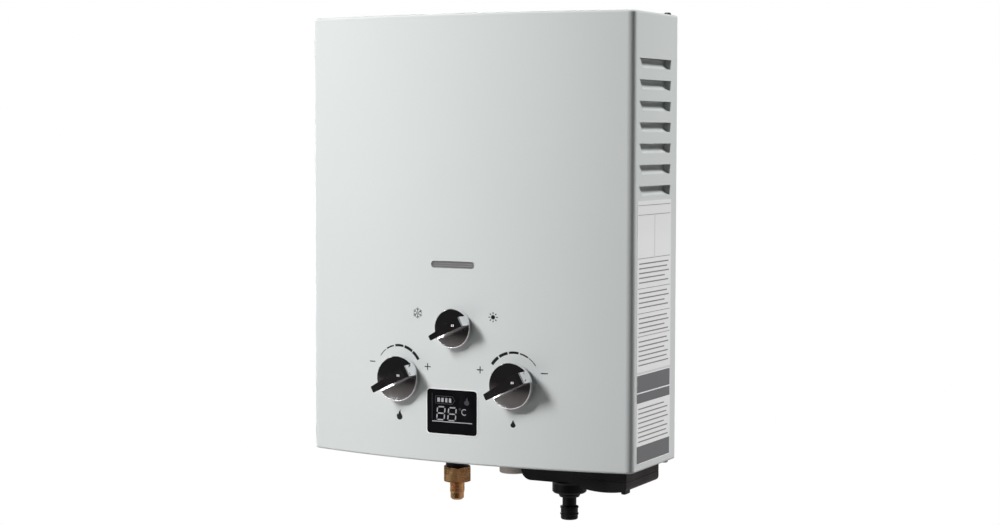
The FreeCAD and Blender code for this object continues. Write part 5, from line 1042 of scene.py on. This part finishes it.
PLATE_Y = (-79.5, -11.5)
plates = bmesh.new()
for z0, z1 in ((58.2, 192.5), (-14.0, 56.8)):
    blob(plates, (sum(PLATE_Y) / 2, (z0 + z1) / 2), rounded_loop(*PLATE_Y, z0, z1, 1.2, 4))
add_film("side_plates", plates, at_height(0.01 * MM), 0.12 * MM, "white_paint", "white_and_highlight_paint")
bands = bmesh.new()
for z0, z1 in ((42.6, 56.0), (34.2, 41.6), (-13.2, 0.2)):
    stroke_line(bands, (-78.7, (z0 + z1) / 2), (-12.3, (z0 + z1) / 2), z1 - z0)
finish["band_grey"] = painted("band_grey", (112, 114, 116), 0.01, 0.4, 0.000003)
finish["line_grey"] = painted("line_grey", (128, 129, 131), 0.01, 0.4, 0.000003)
add_film("plate_bands", bands, at_height(0.13 * MM), 0.02 * MM, "grey_plastic", "band_grey")
lines = bmesh.new()
for z in (189.0, 181.5, 147.5, 124.0, 104.5, 86.5):
    stroke_line(lines, (-78.0, z), (-13.0, z), 0.45)
stroke_line(lines, (-45.0, 148.0), (-45.0, 181.0), 0.4)
LINE_PITCH = 3.7
LINE_ENDS = (-16.5, -19.0, -15.5, -24.0)
BLOCKS = ((143.4, 5), (120.2, 4), (100.6, 4), (82.4, 6), (29.6, 8))
heights = [top - LINE_PITCH * k for top, rows in BLOCKS for k in range(rows)]
for k, z in enumerate(heights):
    stroke_line(lines, (-76.0, z), (LINE_ENDS[k % 4], z), 0.95)
print("ruled lines:", len(heights))
add_film("plate_lines", lines, at_height(0.13 * MM), 0.02 * MM, "grey_plastic", "line_grey")

# %% [markdown]
# ## Studio
# Soft light comes from the left front, and the room in front is dark, which is what the knobs
# mirror. A pale floor lies well below the heater, as it hangs on a wall. Light Path tells camera
# rays from the rest, so that the room is white to the eye and dim in reflections.

# %% Floor
FLOOR_Z = -1.0
FLOOR_HALF = 14.0
FLOOR_NEAR = -14.0
FLOOR_FAR = 22.0
floor_mesh = bpy.data.meshes.new("studio_floor")
corners = [(-FLOOR_HALF, FLOOR_NEAR, FLOOR_Z), (FLOOR_HALF, FLOOR_NEAR, FLOOR_Z),
           (FLOOR_HALF, FLOOR_FAR, FLOOR_Z), (-FLOOR_HALF, FLOOR_FAR, FLOOR_Z)]
floor_mesh.from_pydata(corners, [], [(0, 1, 2, 3)])
floor = new_object("studio_floor", floor_mesh)
floor_material = bpy.data.materials.new("studio_floor")
floor_material.use_nodes = True
tree = floor_material.node_tree
rays = put(tree, "ShaderNodeLightPath").outputs
matt = tree.nodes["Principled BSDF"]
matt.inputs["Base Color"].default_value = rgb(156, 157, 158)
matt.inputs["Roughness"].default_value = 0.8
y = put(tree, "ShaderNodeSeparateXYZ", {0: object_spot(tree)}).outputs[1]
far_glow = between(tree, y, -6.6, -3.4, 0.012, 0.105)
near_glow = between(tree, y, -2.6, -1.3, 0.0, 0.35)
mirrored = put(tree, "ShaderNodeEmission",
               {"Color": rgb(255, 244, 242), "Strength": plus(tree, far_glow, near_glow)})
seen = put(tree, "ShaderNodeEmission", {"Color": (1, 1, 1, 1), "Strength": 1.0})
lit_or_mirrored = put(tree, "ShaderNodeMixShader",
                      {0: rays["Is Glossy Ray"], 1: matt.outputs[0], 2: mirrored.outputs[0]})
mixed = put(tree, "ShaderNodeMixShader",
            {0: rays["Is Camera Ray"], 1: lit_or_mirrored.outputs[0], 2: seen.outputs[0]})
tree.links.new(mixed.outputs[0], tree.nodes["Material Output"].inputs["Surface"])
floor_mesh.materials.append(floor_material)

# %% World
world = bpy.data.worlds.new("studio_room")
bpy.context.scene.world = world
world.use_nodes = True
tree = world.node_tree
rays = put(tree, "ShaderNodeLightPath").outputs
ROOM_LIGHT = 0.03
ROOM_MIRRORED = 0.012
dim = between(tree, rays["Is Glossy Ray"], 0.0, 1.0, ROOM_LIGHT, ROOM_MIRRORED)
strength = calc(tree, "MAXIMUM", dim, rays["Is Camera Ray"])
tree.links.new(strength, tree.nodes["Background"].inputs["Strength"])
tree.nodes["Background"].inputs["Color"].default_value = (1, 1, 1, 1)


# %% Lights
def soft_light(name, azimuth, elevation, distance, width, height, radiance, mirrored=True,
               spread=180, aim=(0, -0.05, 0.12)):
    """A soft box that looks at the heater. Azimuth 0 is in front, 90 to the right."""
    data = bpy.data.lights.new(name, "AREA")
    data.shape = "RECTANGLE"
    data.size = width
    data.size_y = height
    data.energy = radiance * math.pi * width * height
    data.spread = math.radians(spread)
    light = new_object(name, data)
    a, e = math.radians(azimuth), math.radians(elevation)
    back = Vector((math.sin(a) * math.cos(e), -math.cos(a) * math.cos(e), math.sin(e)))
    light.location = Vector(aim) + back * distance
    light.visible_glossy = mirrored
    light.rotation_euler = (-back).to_track_quat("-Z", "Y").to_euler()


soft_light("key_left", -40, 30, 3.0, 0.68, 0.95, 2.86, mirrored=False, spread=40, aim=(0.1, -0.05, 0.22))
soft_light("card_left", -56, 18, 2.2, 0.45, 1.0, 0.5)
soft_light("strip_left", -70, 10, 2.2, 0.08, 1.0, 4)
soft_light("strip_high", -64, 33, 2.2, 0.5, 0.1, 9)
soft_light("strip_low", -42, -24, 1.9, 0.8, 0.05, 14)
soft_light("side_right", 142, 34, 3.2, 0.9, 1.1, 41, mirrored=False)
soft_light("card_top", 0, 80, 2.0, 1.6, 1.6, 0.5)
soft_light("card_back", 128, 2, 2.2, 0.6, 1.0, 0.9)
soft_light("card_right", 66, 36, 1.8, 0.6, 0.6, 0.3)
soft_light("back_left", -130, 10, 2.4, 0.8, 1.4, 4)
soft_light("card_low", -30, -40, 1.4, 0.9, 0.5, 1.2)

# %% [markdown]
# ## Camera
# The view was worked out from points of the photo that lie on known places of the casing: the
# camera stands to the right of the heater, a little above its middle, and looks slightly down.

# %% Camera at the photo's viewpoint
camera_data = bpy.data.cameras.new("photo_view")
camera_data.lens = 71.9
camera_data.sensor_width = 36.0
camera_data.clip_end = 60.0
camera = new_object("photo_view", camera_data)
camera.location = (0.7583, -1.5040, 0.2440)
camera.rotation_euler = (math.pi / 2 - 0.0640, -0.0017, 0.4748)
bpy.context.scene.camera = camera
bpy.context.scene.view_settings.view_transform = "Standard"
